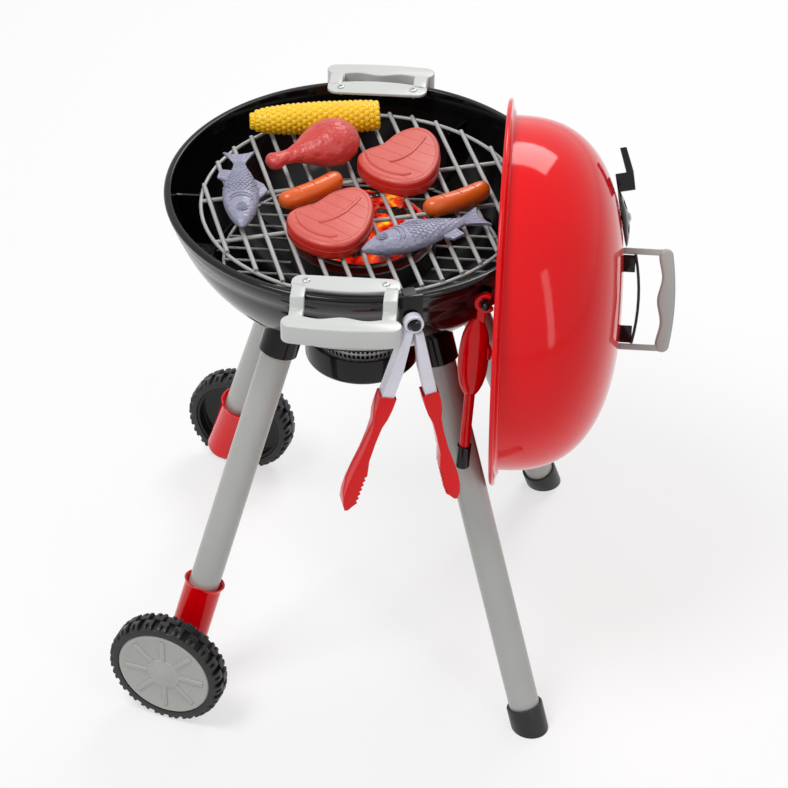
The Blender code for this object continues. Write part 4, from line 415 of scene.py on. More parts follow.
WHITE = plastic("moulded_white_polypropylene", "#e9e7f2", "#dfddea", 0.28)
SLEEVE_BLACK = plastic("battery_shrink_sleeve", "#34353a", "#3d3e44", 0.35)
print(len(bpy.data.materials), "materials so far")

# %% [markdown]
# Bright steel pins and the silver coated band are the only metal looks on the toy. Steel is drawn
# bar, faintly brushed; the band is a moulding with a vacuum coat, so it is a little softer.

# %% Metals
METAL_SHINE, METAL_DULL = 0.06, 0.08


def metal(name, colour, roughness, scratch, share=1.0):
    """Metal, or with a smaller share a metal look over plastic, with fine uneven scratches."""
    paint, tree, shader, place = new_paint(name)
    set_gloss(tree, shader, noise(tree, place, scratch, 5), roughness - METAL_SHINE, roughness + METAL_DULL)
    shader.inputs["Base Color"].default_value = linear(colour)
    shader.inputs["Metallic"].default_value = share
    return paint


STEEL = metal("zinc_plated_steel", "#b9babb", 0.28, 0.8)
# The band's silver coat is its own, but its base is lifted to near white as painted light against the shade under
# the bowl.
SILVER_AND_PAINTED_LIGHT = metal("silver_coated_abs", "#f4f5f6", 0.34, 1.5, 0.35)

# %% [markdown]
# Toy food is soft plastic with a satin skin, sprayed a little darker or lighter on top. The fish's
# skin is broken by cells that are drawn out along its body, under the raised scales.

# %% Food plastics
SPRAY_SIZE = 16


def food_plastic(name, colour, shade, gloss, lump, depth, stretch=(1, 1, 1), turn=0.0, cells=False):
    """Satin plastic with two close colours and a relief of lumps, or of cells for a fish."""
    paint, tree, shader, place = new_paint(name)
    laid = add_node(tree, "ShaderNodeMapping", {"Vector": place}, {"Rotation": (0, 0, -turn), "Scale": stretch})
    kind, outlet = ("ShaderNodeTexVoronoi", "Distance") if cells else ("ShaderNodeTexNoise", "Fac")
    skin = add_node(tree, kind, {"Vector": laid.outputs["Vector"]}, {"Scale": scale_for(lump)})
    spray = blend_colours(tree, noise(tree, place, SPRAY_SIZE, 3), colour, shade)
    tree.links.new(spray, shader.inputs["Base Color"])
    set_bump(tree, shader, skin.outputs[outlet], LUMP_STRENGTH, depth)
    shader.inputs["Roughness"].default_value = gloss
    return paint


FISH_TURNS = {"front_fish": math.radians(31.0), "left_fish": math.radians(98.3)}
SCALE_STRETCH = (0.8, 1.15, 1.15)
CORN = food_plastic("corn_yellow_vinyl", "#f7ca18", "#efbb0d", 0.30, 5, 0.05)
MEAT = food_plastic("roast_red_vinyl", "#cc453f", "#bb3430", 0.36, 3.4, 1.0)
STEAK_TOP = food_plastic("steak_pink_vinyl", "#cd5c50", "#c24d43", 0.40, 2.2, 0.3)
STEAK_SIDE = food_plastic("steak_red_vinyl", "#cf2f22", "#c2261d", 0.30, 4, 0.12)
SAUSAGE = food_plastic("sausage_orange_vinyl", "#e0641c", "#d25616", 0.28, 6, 0.08)
FISH = {name: food_plastic(name + "_vinyl", "#9b9baf", "#83839b", 0.36, 3.4, 1.0, SCALE_STRETCH, turn, True)
        for name, turn in FISH_TURNS.items()}
print("food finishes ready")

# %% [markdown]
# The coals are a clear moulding over a small lamp. Where it is thin it glows yellow and orange, and
# the painted lumps stay dark. A noise picks between the colours, and the same noise drives the glow.

# %% Glowing and dark coal
HEAT_SIZE, HEAT_GLOW, RESIN_GLOSS = 19, 0.75, 0.14
COOLEST, HOTTEST, BETWEEN = (0.38, "#2a0503"), (0.72, "#ffd42e"), ((0.50, "#c4170a"), (0.60, "#f8470e"))


def glowing_resin():
    paint, tree, shader, place = new_paint("glowing_coal_resin")
    ramp = add_node(tree, "ShaderNodeValToRGB", {"Fac": noise(tree, place, HEAT_SIZE)})
    stops = ramp.color_ramp.elements
    for stop, (heat, colour) in zip(stops, (COOLEST, HOTTEST)):
        stop.position, stop.color = heat, linear(colour)
    for heat, colour in BETWEEN:
        stops.new(heat).color = linear(colour)
    tree.links.new(ramp.outputs["Color"], shader.inputs["Base Color"])
    tree.links.new(ramp.outputs["Color"], shader.inputs["Emission Color"])
    shader.inputs["Emission Strength"].default_value = HEAT_GLOW
    shader.inputs["Roughness"].default_value = RESIN_GLOSS
    return paint


GLOW = glowing_resin()
CHAR = plastic("charred_lump_resin", "#1b1918", "#55504d", 0.18, grain=2.5, depth=0.3, mottle=12)
LAMP = plastic("clear_amber_resin", "#f4b06a", "#ee9e50", 0.15)
print("coal finishes ready")

# %% [markdown]
# The kettle is a deep bowl with a rolled lip above an upright band. Its belly is not a sphere: a
# superellipse gives the flatter bottom and fuller side. The whole section is spun, wall and all, so
# the inside is as finished as the outside.

# %% Kettle bowl
BOWL_LOW, BOWL_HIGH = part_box("kettle_bowl")
BOWL_MIDDLE = Vector(((BOWL_LOW.x + BOWL_HIGH.x) / 2, (BOWL_LOW.y + BOWL_HIGH.y) / 2, 0))
RIM_HEIGHT = BOWL_HIGH.z
RIM_RADIUS = (BOWL_HIGH.x - BOWL_LOW.x) / 2
BELLY_RADIUS, BELLY_RISE, BELLY_POWER = 173.9 * MM, 13.7 * MM, 1.87
BELLY_MIDDLE = RIM_HEIGHT + BELLY_RISE
BELLY_DEPTH = BELLY_MIDDLE - BOWL_LOW.z
BOWL_WALL, LIP_HEIGHT, LIP_WIDTH, LIP_ROUND = 2.5 * MM, 8 * MM, 6.5 * MM, 2.8 * MM
BAND_DROP, BAND_STEP = 20.5 * MM, 1.2 * MM
AROUND_KETTLE = Matrix.Translation(BOWL_MIDDLE)


def belly_radius(height, inset=0.0):
    share = min(abs(BELLY_MIDDLE - height) / (BELLY_DEPTH - inset), 1)
    return (BELLY_RADIUS - inset) * (1 - share ** BELLY_POWER) ** (1 / BELLY_POWER)


def belly_curve(inset, top, steps=26):
    """From the pole up to a height, closer together near the pole."""
    points = []
    for step in range(steps + 1):
        angle = math.pi / 2 * (1 - step / steps)
        height = BELLY_MIDDLE - (BELLY_DEPTH - inset) * math.sin(angle) ** (2 / BELLY_POWER)
        if height < top:
            points.append((belly_radius(height, inset) if step else 0.0, height))
    return points


band_low, lip_low = RIM_HEIGHT - BAND_DROP, RIM_HEIGHT - LIP_HEIGHT
outside = belly_curve(0.0, band_low - LIP_ROUND) + [(belly_radius(band_low), band_low)]
outside += [(belly_radius(band_low) + BAND_STEP, band_low + BAND_STEP),
            (belly_radius(lip_low) + BAND_STEP, lip_low), (RIM_RADIUS - LIP_ROUND / 2, lip_low)]
lip = arc((RIM_RADIUS - LIP_ROUND, RIM_HEIGHT - LIP_ROUND), LIP_ROUND, -40, 90, 8)
lip += arc((RIM_RADIUS - LIP_WIDTH + LIP_ROUND / 2, RIM_HEIGHT - LIP_ROUND / 2), LIP_ROUND / 2, 90, 180, 4)
inside = list(reversed(belly_curve(BOWL_WALL, lip_low)))
bowl = put(spun(outside + lip + inside, 128), AROUND_KETTLE)

# %% [markdown]
# Three thin ribs stand inside the bowl and carry the two grates. Each is a flat plate whose outer
# edge sinks into the wall, so it needs only four corners.

# %% Ribs of the bowl
GRATE_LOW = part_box("cooking_grate")[0]
COAL_GRATE_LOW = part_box("charcoal_grate")[0]
RIB_ANGLES, RIB_THICK, SEAT_GAP = (180, 60, -60), 2.4 * MM, 0.3 * MM
RIB_REACHES = ((GRATE_LOW.z, 37.5 * MM), (COAL_GRATE_LOW.z, 53 * MM))


def rib(top, reach, angle):
    inner = RIM_RADIUS - reach
    share = inner / (BELLY_RADIUS - BOWL_WALL / 2)
    foot = BELLY_MIDDLE - (BELLY_DEPTH - BOWL_WALL / 2) * (1 - share ** BELLY_POWER) ** (1 / BELLY_POWER)
    heights = [foot + (top - foot) * step / 6 for step in range(7)]
    outline = [(inner, top)] + [(belly_radius(height, BOWL_WALL / 2), height) for height in heights]
    plate = raised(outline, -RIB_THICK / 2, RIB_THICK / 2)
    return put(plate, AROUND_KETTLE @ around_z(math.radians(angle)) @ UPRIGHT)


ribs = [rib(top - SEAT_GAP, reach, angle) for angle in RIB_ANGLES for top, reach in RIB_REACHES]
keep(join([bowl] + ribs), GLOSS_BLACK, "kettle_bowl")

# %% [markdown]
# Each side handle is one moulding: a plate screwed on the rim, two arms that step down outside the
# lip and a grip. The grip is waved on the finger side and bowed outside, so its outline is computed
# finely and then raised, and only then are its edges rounded.

# %% Grip outline
GRIP_WAVE, GRIP_PITCH, GRIP_STEPS, END_SHARE = 1.7 * MM, 40 * MM, 56, 0.44


def grip_outline(length, inner, depth, bow):
    """Waved towards the fingers, bowed outside, and round at both ends."""
    finger, outer, end_round = [], [], depth * END_SHARE
    for step in range(GRIP_STEPS + 1):
        share = -math.cos(math.pi * step / GRIP_STEPS)
        along = share * length / 2
        past = max(abs(along) - (length / 2 - end_round), 0.0)
        drop = end_round - math.sqrt(max(end_round ** 2 - past ** 2, 0.0))
        finger.append((along, inner + GRIP_WAVE * (1 - math.cos(TAU * along / GRIP_PITCH)) + drop))
        outer.append((along, inner + depth + bow * (1 - share * share) - drop))
    return finger + outer[::-1]


# %% Side handles
PLATE_WIDTH, PLATE_INNER, PLATE_INSET, PLATE_THICK = 92 * MM, 146 * MM, 7.5 * MM, 3 * MM
PLATE_CORNER, ARM_SPACING, ARM_WIDTH, ARM_THICK = 9 * MM, 78 * MM, 12 * MM, 3 * MM
ARM_OUT, ARM_DROP, FINGER_GAP = 1.8 * MM, 8.5 * MM, 17 * MM
GRIP_LENGTH, GRIP_DEPTH, GRIP_BOW, GRIP_HEIGHT, GRIP_ROUND = 101 * MM, 16 * MM, 3.5 * MM, 18 * MM, 3 * MM
PLATE_SOFT, ARM_SOFT, ARM_SINK = 0.8 * MM, 0.9 * MM, 3 * MM


def side_handle():
    base = RIM_HEIGHT + SEAT_GAP
    top = base + PLATE_THICK
    outer = RIM_RADIUS - PLATE_INSET
    half = PLATE_WIDTH / 2
    reach = math.degrees(math.asin(half / outer))
    outline = arc((0, 0), outer, 90 - reach, 90 + reach, 20)
    outline += arc((-half + PLATE_CORNER, PLATE_INNER + PLATE_CORNER), PLATE_CORNER, 180, 270, 8)
    outline += arc((half - PLATE_CORNER, PLATE_INNER + PLATE_CORNER), PLATE_CORNER, 270, 360, 8)
    pieces = [raised(outline, base, top, PLATE_SOFT)]
    grip_top = top - ARM_DROP
    inner = RIM_RADIUS + FINGER_GAP
    grip = raised(grip_outline(GRIP_LENGTH, inner, GRIP_DEPTH, GRIP_BOW), grip_top - GRIP_HEIGHT, grip_top)
    round_edges(grip, GRIP_ROUND, 5)
    step_out, arm_end = RIM_RADIUS + ARM_OUT, inner + ARM_SINK
    arm_low = grip_top - 3 * ARM_THICK
    side = [(outer - PLATE_CORNER, base), (step_out - ARM_THICK, base), (step_out - ARM_THICK / 2, arm_low),
            (arm_end, arm_low), (arm_end, grip_top - SEAT_GAP), (step_out + 2 * ARM_THICK, grip_top - SEAT_GAP),
            (step_out + ARM_THICK / 2, top), (outer - PLATE_CORNER, top)]
    for across in (-1, 1):
        arm = raised(side, -ARM_WIDTH / 2, ARM_WIDTH / 2, ARM_SOFT)
        pieces.append(put(arm, Matrix.Translation((across * ARM_SPACING / 2, 0, 0)) @ ALONG_X))
    return join(pieces + [grip])


rear = side_handle()
front = twin(rear, around_z(math.pi))
keep(put(rear, AROUND_KETTLE), LIGHT_GREY, "rear_handle")
keep(put(front, AROUND_KETTLE), LIGHT_GREY, "front_handle")

# %% [markdown]
# The screws are pan heads with a cross recess. One is spun and its cross cut out, and three copies
# go to the other places, which come from the frame.

# %% Handle screws
SCREW_HEAD, SCREW_RISE, SCREW_SHANK, RECESS, CROSS_TURN = 3.4 * MM, 1.4 * MM, 1.5 * MM, 0.9 * MM, 0.5


def screw():
    low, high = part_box("front_left_screw")
    seat = high.z - SCREW_RISE
    profile = [(0.0, low.z), (SCREW_SHANK, low.z), (SCREW_SHANK, seat), (SCREW_HEAD, seat)]
    profile += arc((SCREW_HEAD - SCREW_RISE, seat), SCREW_RISE, 10, 90, 5) + [(0.0, high.z)]
    piece = spun(profile, 32)
    for turn in (0, math.pi / 2):
        slot = block((SCREW_HEAD * 1.1, RECESS, SCREW_RISE), (0, 0, high.z))
        cut(piece, put(slot, around_z(turn + CROSS_TURN)))
    return piece


first_screw = screw()
for name in ("front_left_screw", "front_right_screw", "rear_left_screw", "rear_right_screw"):
    middle = box_middle(name)
    keep(twin(first_screw, Matrix.Translation((middle.x, middle.y, 0))), STEEL, name)
bpy.data.objects.remove(first_screw)

# %% [markdown]
# The cooking grate is a moulded ring with straight rods on top and two cross rods below, all round in
# section. Its place comes from the frame, and each rod is as long as the ring's chord there.

# %% Grates
GRATE_RADIUS, RING_WIRE, ROD_WIRE, ROD_PITCH, ROD_COUNT = 142.8 * MM, 1.7 * MM, 2 * MM, 18.9 * MM, 15
ROD_TURN, CROSS_OFFSET, WELD = math.radians(18.3), 32.5 * MM, 1 * MM


def chord(radius, offset):
    return math.sqrt(radius * radius - offset * offset)


def wire_grate(radius, ring_wire, wire, pitch, count, crosses):
    """Ring at height zero, rods along Y above it and cross rods along X under the rods."""
    pieces = [fresh(bpy.ops.mesh.primitive_torus_add, major_radius=radius, minor_radius=ring_wire,
                    major_segments=120, minor_segments=14)]
    high = ring_wire + wire - WELD
    for number in range(count):
        x = (number - (count - 1) / 2) * pitch
        half = chord(radius, x)
        pieces.append(bar((x, -half, high), (x, half, high), wire))
    for y in crosses:
        half = chord(radius, y)
        low = high - 2 * wire + WELD
        pieces.append(bar((-half, y, low), (half, y, low), wire))
    return join(pieces)


cooking = wire_grate(GRATE_RADIUS, RING_WIRE, ROD_WIRE, ROD_PITCH, ROD_COUNT, (-CROSS_OFFSET, CROSS_OFFSET))
lift = Matrix.Translation((0, 0, GRATE_LOW.z + RING_WIRE)) @ around_z(ROD_TURN)
keep(put(cooking, AROUND_KETTLE @ lift), GRATE_GREY, "cooking_grate")

COAL_RADIUS, COAL_RING, COAL_WIRE, COAL_PITCH, COAL_COUNT = 124.5 * MM, 1.5 * MM, 1.2 * MM, 18.4 * MM, 13
charcoal = wire_grate(COAL_RADIUS, COAL_RING, COAL_WIRE, COAL_PITCH, COAL_COUNT, ())
lift = Matrix.Translation((0, 0, COAL_GRATE_LOW.z + COAL_RING)) @ around_z(math.pi / 2)
keep(put(charcoal, AROUND_KETTLE @ lift), GRATE_GREY, "charcoal_grate")

# %% [markdown]
# The fire unit lies under the food: a grained tray with its cells and lamp, and the glowing bed.
# Lumps of coal are one rough stone, turned and sized at random from a fixed seed, and half sunk in
# the bed. Some glow, mostly in the middle, and the others are charred.

# %% Fire unit
for node, paint in (("fire_tray", DARK_GREY), ("battery_door", DARK_GREY), ("battery_front", SLEEVE_BLACK),
                    ("battery_rear", SLEEVE_BLACK), ("fire_lamp", LAMP), ("power_button", RED)):
    keep(moulded(node, 0.3 * MM), paint, node)

BED_LOW, BED_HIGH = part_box("coal_bed")
BED_RADIUS = (BED_HIGH.x - BED_LOW.x) / 2
LUMP_COUNT, LUMP_SIZE, LUMP_SINK, GLOW_EDGE = 96, 11.5 * MM, 3.5 * MM, 0.90
LUMP_FORM, LUMP_LEAN, LUMP_LEAST = (1, 0.75, 0.42), 0.5, 0.55
BED_FALL, BED_POWER, GLOW_MIDDLE, GLOW_FALL, GOLDEN_TURN = 0.62, 2.4, 0.85, 0.45, math.pi * (3 - math.sqrt(5))
FACET_SIZE, FACET_DEPTH, FACET_MIDDLE = 0.9, 0.5, 0.6
chance = random.Random(7)


def two_paints(piece, first, second):
    piece.data.materials.clear()
    for paint in (first, second):
        piece.data.materials.append(paint)


def stone():
    piece = fresh(bpy.ops.mesh.primitive_ico_sphere_add, subdivisions=3, radius=1)
    broken = bpy.data.textures.new("broken edges", "VORONOI")
    broken.noise_scale = FACET_SIZE
    use(piece, "DISPLACE", texture=broken, texture_coords="LOCAL", strength=FACET_DEPTH, mid_level=FACET_MIDDLE)
    return piece


bed = moulded("coal_bed", 0)
smooth_out(bed, 1)
two_paints(bed, GLOW, CHAR)
for face in bed.data.polygons:
    reach = Vector((face.center.x - BOWL_MIDDLE.x, face.center.y - BOWL_MIDDLE.y)).length
    face.material_index = 1 if reach > GLOW_EDGE * BED_RADIUS else 0
pattern, lumps = stone(), []
for number in range(LUMP_COUNT):
    out = (BED_RADIUS - LUMP_SIZE) * math.sqrt((number + 0.5) / LUMP_COUNT)
    angle = number * GOLDEN_TURN
    size = LUMP_SIZE * chance.uniform(LUMP_LEAST, 1.0)
    drop = (BED_HIGH.z - BED_LOW.z) * BED_FALL * (out / BED_RADIUS) ** BED_POWER
    place = Matrix.Translation((BOWL_MIDDLE.x + out * math.cos(angle), BOWL_MIDDLE.y + out * math.sin(angle),
                                BED_HIGH.z - LUMP_SINK - drop))
    turn = around_z(chance.uniform(0, TAU)) @ Matrix.Rotation(chance.uniform(-LUMP_LEAN, LUMP_LEAN), 4, "X")
    lump = twin(pattern, place @ turn @ Matrix.Diagonal([size * share for share in LUMP_FORM] + [1]))
    lump.data.materials.clear()
    lump.data.materials.append(GLOW if chance.random() < GLOW_MIDDLE - GLOW_FALL * out / BED_RADIUS else CHAR)
    lumps.append(lump)
bpy.data.objects.remove(pattern)
keep(join([bed] + lumps), None, "coal_bed", smooth=50)

# %% [markdown]
# The ash catcher hangs under the kettle: a shallow glossy dish with a silver band above it, pierced
# by three rows of holes. The band is an open cylinder cut into cells, and each cell is inset and
# opened, so every hole is a real one.

# %% Ash dish
DISH_LOW, DISH_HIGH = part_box("ash_dish")
BAND_LOW, BAND_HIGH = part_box("vent_band")
DISH_RADIUS, DISH_HEIGHT, DISH_WALL, DISH_ROUND, POST_RADIUS = 53 * MM, 27.5 * MM, 2 * MM, 5 * MM, 7 * MM
DISH_RIM, DISH_FLOOR = DISH_LOW.z + DISH_HEIGHT, DISH_LOW.z + DISH_WALL
profile = [(0.0, DISH_LOW.z)] + arc((DISH_RADIUS - DISH_ROUND, DISH_LOW.z + DISH_ROUND), DISH_ROUND, -90, 0, 10)
profile += arc((DISH_RADIUS - DISH_WALL / 2, DISH_RIM - DISH_WALL / 2), DISH_WALL / 2, 0, 180, 8)
profile += arc((DISH_RADIUS - DISH_ROUND, DISH_LOW.z + DISH_ROUND), DISH_ROUND - DISH_WALL, 0, -90, 8)
profile += [(POST_RADIUS, DISH_FLOOR), (POST_RADIUS, DISH_HIGH.z), (0.0, DISH_HIGH.z)]
keep(put(spun(profile, 120), AROUND_KETTLE), GLOSS_BLACK, "ash_dish")

# %% Pierced vent band
BAND_RADIUS, BAND_WALL, HOLE_PITCH, HOLE_ROWS = (BAND_HIGH.x - BAND_LOW.x) / 2, 1.5 * MM, 4.2 * MM, 3
HOLE_EDGE, ROW_LOW, ROW_PITCH = 0.45 * MM, 4.4 * MM, 6.2 * MM
around = round(TAU * BAND_RADIUS / HOLE_PITCH)
band = fresh(bpy.ops.mesh.primitive_cylinder_add, vertices=around, radius=BAND_RADIUS,
             depth=BAND_HIGH.z - BAND_LOW.z, end_fill_type="NOTHING", location=box_middle("vent_band"))
put(band, NO_MOVE)
rows = [DISH_RIM - ROW_LOW + ROW_PITCH * number for number in range(HOLE_ROWS + 1)]
for height in rows:
    edit(band)
    bpy.ops.mesh.bisect(plane_co=(0, 0, height), plane_no=(0, 0, 1))
    leave_edit()
edit(band)
bpy.ops.mesh.select_all(action="DESELECT")
bpy.ops.mesh.select_mode(type="FACE")
leave_edit()
for face in band.data.polygons:
    face.select = rows[0] < face.center.z < rows[-1]
bpy.ops.object.mode_set(mode="EDIT")
bpy.ops.mesh.inset(thickness=HOLE_EDGE, use_individual=True)
bpy.ops.mesh.delete(type="FACE")
leave_edit()
use(band, "SOLIDIFY", thickness=BAND_WALL, offset=-1)
smooth_out(band, 1)
keep(band, SILVER_AND_PAINTED_LIGHT, "vent_band", smooth=60)
print(around * HOLE_ROWS, "holes in the band")

# %% [markdown]
# The four legs are grey tubes. Each runs down and out from a black socket under the belly. Tube and
# socket are spun rings that are cut to the belly's own curve, so both seat on it all round.

# %% Lines of the legs
LEG_POINT_DROP, LEG_Y, FIT = 115.5 * MM, 79.3 * MM, 0.3 * MM
LEG_LINES = {"left": (-65 * MM, (-0.288487, 0.227961), 56 * MM), "right": (72 * MM, (0.276389, 0.278333), 0.0)}
TUBE_RADIUS, TUBE_WALL, SOCKET_WALL, SOCKET_HEIGHT = 14.25 * MM, 1.6 * MM, 3 * MM, 348 * MM
SLEEVE_PLUG, CAP_FLOOR, SOCKET_REACH, SOCKET_SOFT = 16 * MM, 6 * MM, 60 * MM, 0.8 * MM
BORE = TUBE_RADIUS + FIT


def leg_line(end, side):
    """A leg's lower point with Z up the leg, the way from it to the socket, and its tube's start."""
    x, splay, height = LEG_LINES[side]
    way = -1 if end == "front" else 1
    down = Vector((splay[0], way * splay[1], -1))
    top = Vector((x, way * LEG_Y, RIM_HEIGHT - LEG_POINT_DROP))
    low = top + down * (top.z - height)
    steep = 1 / down.length
    plug = SLEEVE_PLUG if side == "left" else CAP_FLOOR / steep + TUBE_RADIUS * math.tan(math.acos(steep))
    return AROUND_KETTLE @ axis_place(low, -down), (SOCKET_HEIGHT - height) * down.length, plug


# %% Legs and sockets
curve = belly_curve(-FIT, RIM_HEIGHT - BAND_DROP)
belly = put(spun(curve + [(0.0, curve[-1][1])], 128), AROUND_KETTLE)
for end in ("front", "rear"):
    for side in ("left", "right"):
        place, start, plug = leg_line(end, side)
        top, low, inner = start + SOCKET_REACH, plug + FIT, TUBE_RADIUS - TUBE_WALL
        tube = [(inner, low), (TUBE_RADIUS, low), (TUBE_RADIUS, top), (inner, top), (inner, low)]
        leg = put(spun(tube, 64), place)
        cut(leg, twin(belly))
        keep(leg, LEG_GREY, f"{end}_{side}_leg")
        outer = BORE + SOCKET_WALL
        collar = [(BORE, start), (outer - SOCKET_SOFT, start), (outer, start + SOCKET_SOFT), (outer, top),
                  (BORE, top), (BORE, start)]
        socket = put(spun(collar, 64), place)
        cut(socket, twin(belly))
        keep(socket, GLOSS_BLACK, f"{end}_{side}_leg_socket")
bpy.data.objects.remove(belly)

# %% [markdown]
# Two legs stand in soft black caps, which are cups with a thin lip, cut level with the floor.

# %% Foot caps
CAP_WALL, CAP_HEIGHT, CAP_SOFT = 2.4 * MM, 24 * MM, 0.5 * MM


def foot_cap(end):
    place, _, floor = leg_line(end, "right")
    outer, lip = BORE + CAP_WALL, CAP_WALL / 2
    profile = [(0.0, -outer), (outer, -outer)] + arc((outer - lip, CAP_HEIGHT - lip), lip, 0, 180, 8)
    piece = put(spun(profile + [(BORE, floor), (0.0, floor)], 64), place)
    edit(piece)
    bpy.ops.mesh.bisect(plane_co=(0, 0, CAD_LOW.z), plane_no=(0, 0, 1), clear_inner=True, use_fill=True)
    leave_edit()
    tidy_mesh(piece)
    round_edges(piece, CAP_SOFT)
    return piece


for end in ("front", "rear"):
    keep(foot_cap(end), SOFT_BLACK, f"{end}_foot_cap")

# %% [markdown]
# The other two legs end in red sleeves. Each has a flared mouth, a round bottom and a boss towards
# its wheel, with a hole for the axle. From outside the axle's head is hidden, so the pin starts inside.

# %% Wheel sleeves and axles
SLEEVE_WALL, SLEEVE_TOP, SLEEVE_BOTTOM, SLEEVE_ROUND = 3 * MM, 66 * MM, 12 * MM, 6 * MM
FLARE, FLARE_HEIGHT, BOSS_RADIUS, RUNNING_GAP = 1.8 * MM, 5 * MM, 10 * MM, 0.5 * MM
AXLE_RADIUS, AXLE_HEAD, AXLE_TIP, AXLE_OUT, TYRE_WIDTH = 4 * MM, 3 * MM, 4.6 * MM, 40 * MM, 24 * MM


def wheel_sleeve(end):
    joint, outer = JOINTS[f"{end}_wheel_spin"], BORE + SLEEVE_WALL
    out = Vector(joint["axis"]).normalized()
    low = Vector(joint["pos_m"]) - out * AXLE_OUT
    profile = [(0.0, -SLEEVE_BOTTOM)]
    profile += arc((outer - SLEEVE_ROUND, SLEEVE_ROUND - SLEEVE_BOTTOM), SLEEVE_ROUND, -90, 0, 8)
    profile += [(outer, SLEEVE_TOP - FLARE_HEIGHT), (outer + FLARE * 0.4, SLEEVE_TOP - FLARE_HEIGHT / 2)]
    profile += arc((outer + FLARE / 2, SLEEVE_TOP - FLARE / 2), FLARE / 2, 0, 150, 6)
    profile += [(BORE, SLEEVE_TOP - FLARE_HEIGHT), (BORE, SLEEVE_PLUG), (0.0, SLEEVE_PLUG)]
    piece = put(spun(profile, 72), leg_line(end, "left")[0])
    face = low + out * (AXLE_OUT - TYRE_WIDTH / 2 - RUNNING_GAP)
    cut(piece, bar(low, face, BOSS_RADIUS, 48), "UNION")
    cut(piece, bar(low + out * AXLE_HEAD, face + out * FIT, AXLE_RADIUS + FIT, 32))
    return piece


def axle(end):
    """A pin with a flat head inside the sleeve and a chamfered end in the wheel's hub."""
    joint, tip = JOINTS[f"{end}_wheel_spin"], TYRE_WIDTH / 2 - AXLE_TIP
    root, soft = AXLE_HEAD - AXLE_OUT, AXLE_RADIUS / 5
    profile = [(0.0, root), (AXLE_RADIUS, root), (AXLE_RADIUS, tip - soft), (AXLE_RADIUS - soft, tip), (0.0, tip)]
    return put(spun(profile, 32), axis_place(joint["pos_m"], joint["axis"], (0, 0, 1)))


for end in ("front", "rear"):
    keep(wheel_sleeve(end), RED, f"{end}_wheel_sleeve")
    keep(axle(end), STEEL, f"{end}_axle")

# %% [markdown]
# A wheel is a hard tyre with two staggered rows of blocks, on a black hub closed by a grey cap. One
# block is drawn from the tyre's section, slotted like a horseshoe and copied round. Its foot is sunk
# in the tyre's body, whose side walls stay smooth.

# %% Tyre
TYRE_RADIUS, TYRE_BORE, TYRE_CROWN, TREAD = 56 * MM, 45.9 * MM, 1.8 * MM, 3.9 * MM
LUG_COUNT, LUG_LENGTH, LUG_EDGE, SLOT_WIDTH, TYRE_SOFT = 23, 9.2 * MM, 0.6 * MM, 2.6 * MM, 2 * MM
LUG_GAP, CROWN_SHARE, SLOT_DEPTH, SLOT_SHARE = 0.15 * MM, 0.6, 1.6 * TREAD, 0.95


def tyre_block():
    """A block of the outer row: its section from the middle out to the side, raised along the tread."""
    half, foot, crown = TYRE_WIDTH / 2, TYRE_RADIUS - 2 * TREAD, TYRE_RADIUS - LUG_GAP
    section = [(foot, LUG_EDGE), (crown, LUG_EDGE), (crown, half * CROWN_SHARE),
               (crown - TYRE_CROWN, half - LUG_EDGE / 2), (foot, half - LUG_EDGE / 2)]
    lug = put(raised(section, -LUG_LENGTH / 2, LUG_LENGTH / 2), UPRIGHT)
    cut(lug, block((SLOT_DEPTH, SLOT_WIDTH, half), (TYRE_RADIUS, 0, half * SLOT_SHARE)))
    round_edges(lug, LUG_EDGE, 2)
    return lug


def tyre():
    half, body, soft = TYRE_WIDTH / 2, TYRE_RADIUS - TREAD, TYRE_SOFT
    profile = [(TYRE_BORE, -half)] + arc((body - soft, soft - half), soft, -90, 0, 6)
    profile += arc((body - soft, half - soft), soft, 0, 90, 6) + [(TYRE_BORE, half), (TYRE_BORE, -half)]
    pieces, pattern = [spun(profile, 120)], tyre_block()
    for row, flip in ((0.0, NO_MOVE), (0.5, Matrix.Rotation(math.pi, 4, "X"))):
        for number in range(LUG_COUNT):
            pieces.append(twin(pattern, around_z(TAU * (number + row) / LUG_COUNT) @ flip))
    bpy.data.objects.remove(pattern)
    return join(pieces)


# %% Wheel hub
HUB_WIDTH, HUB_RIM_WALL, HUB_WEB, HUB_TUBE, HUB_SOFT, CAP_THICK = 19 * MM, 3 * MM, 3 * MM, 9 * MM, 0.5 * MM, 4 * MM


def hub():
    half, rim, front = TYRE_WIDTH / 2, TYRE_BORE - FIT, TYRE_WIDTH / 2 - CAP_THICK - FIT
    back, inside, bore, web = front - HUB_WIDTH, rim - HUB_RIM_WALL, AXLE_RADIUS + FIT, HUB_WEB / 2
    profile = [(bore, -half), (HUB_TUBE, -half), (HUB_TUBE, -web), (inside, -web), (inside, back), (rim, back),
               (rim, front), (inside, front), (inside, web), (bore, web), (bore, -half)]
    piece = spun(profile, 96)
    round_edges(piece, HUB_SOFT, 3)
    return piece


# %% Hubcap
CAP_BOSS, BOSS_RISE, RIB_COUNT, RIB_WIDTH, RIB_RISE = 11 * MM, 2.2 * MM, 8, 4.8 * MM, 1.1 * MM
RIM_FLAT, RIM_SHARES, BOSS_RINGS, RING_SHARES = 6 * MM, (0.25, 0.6), 3, (1.5, 0.42)
SPOKE_START_SHARE, SPOKE_END_SHARE, SPOKE_SOFT = 1.25, 1.05, 0.8 * MM


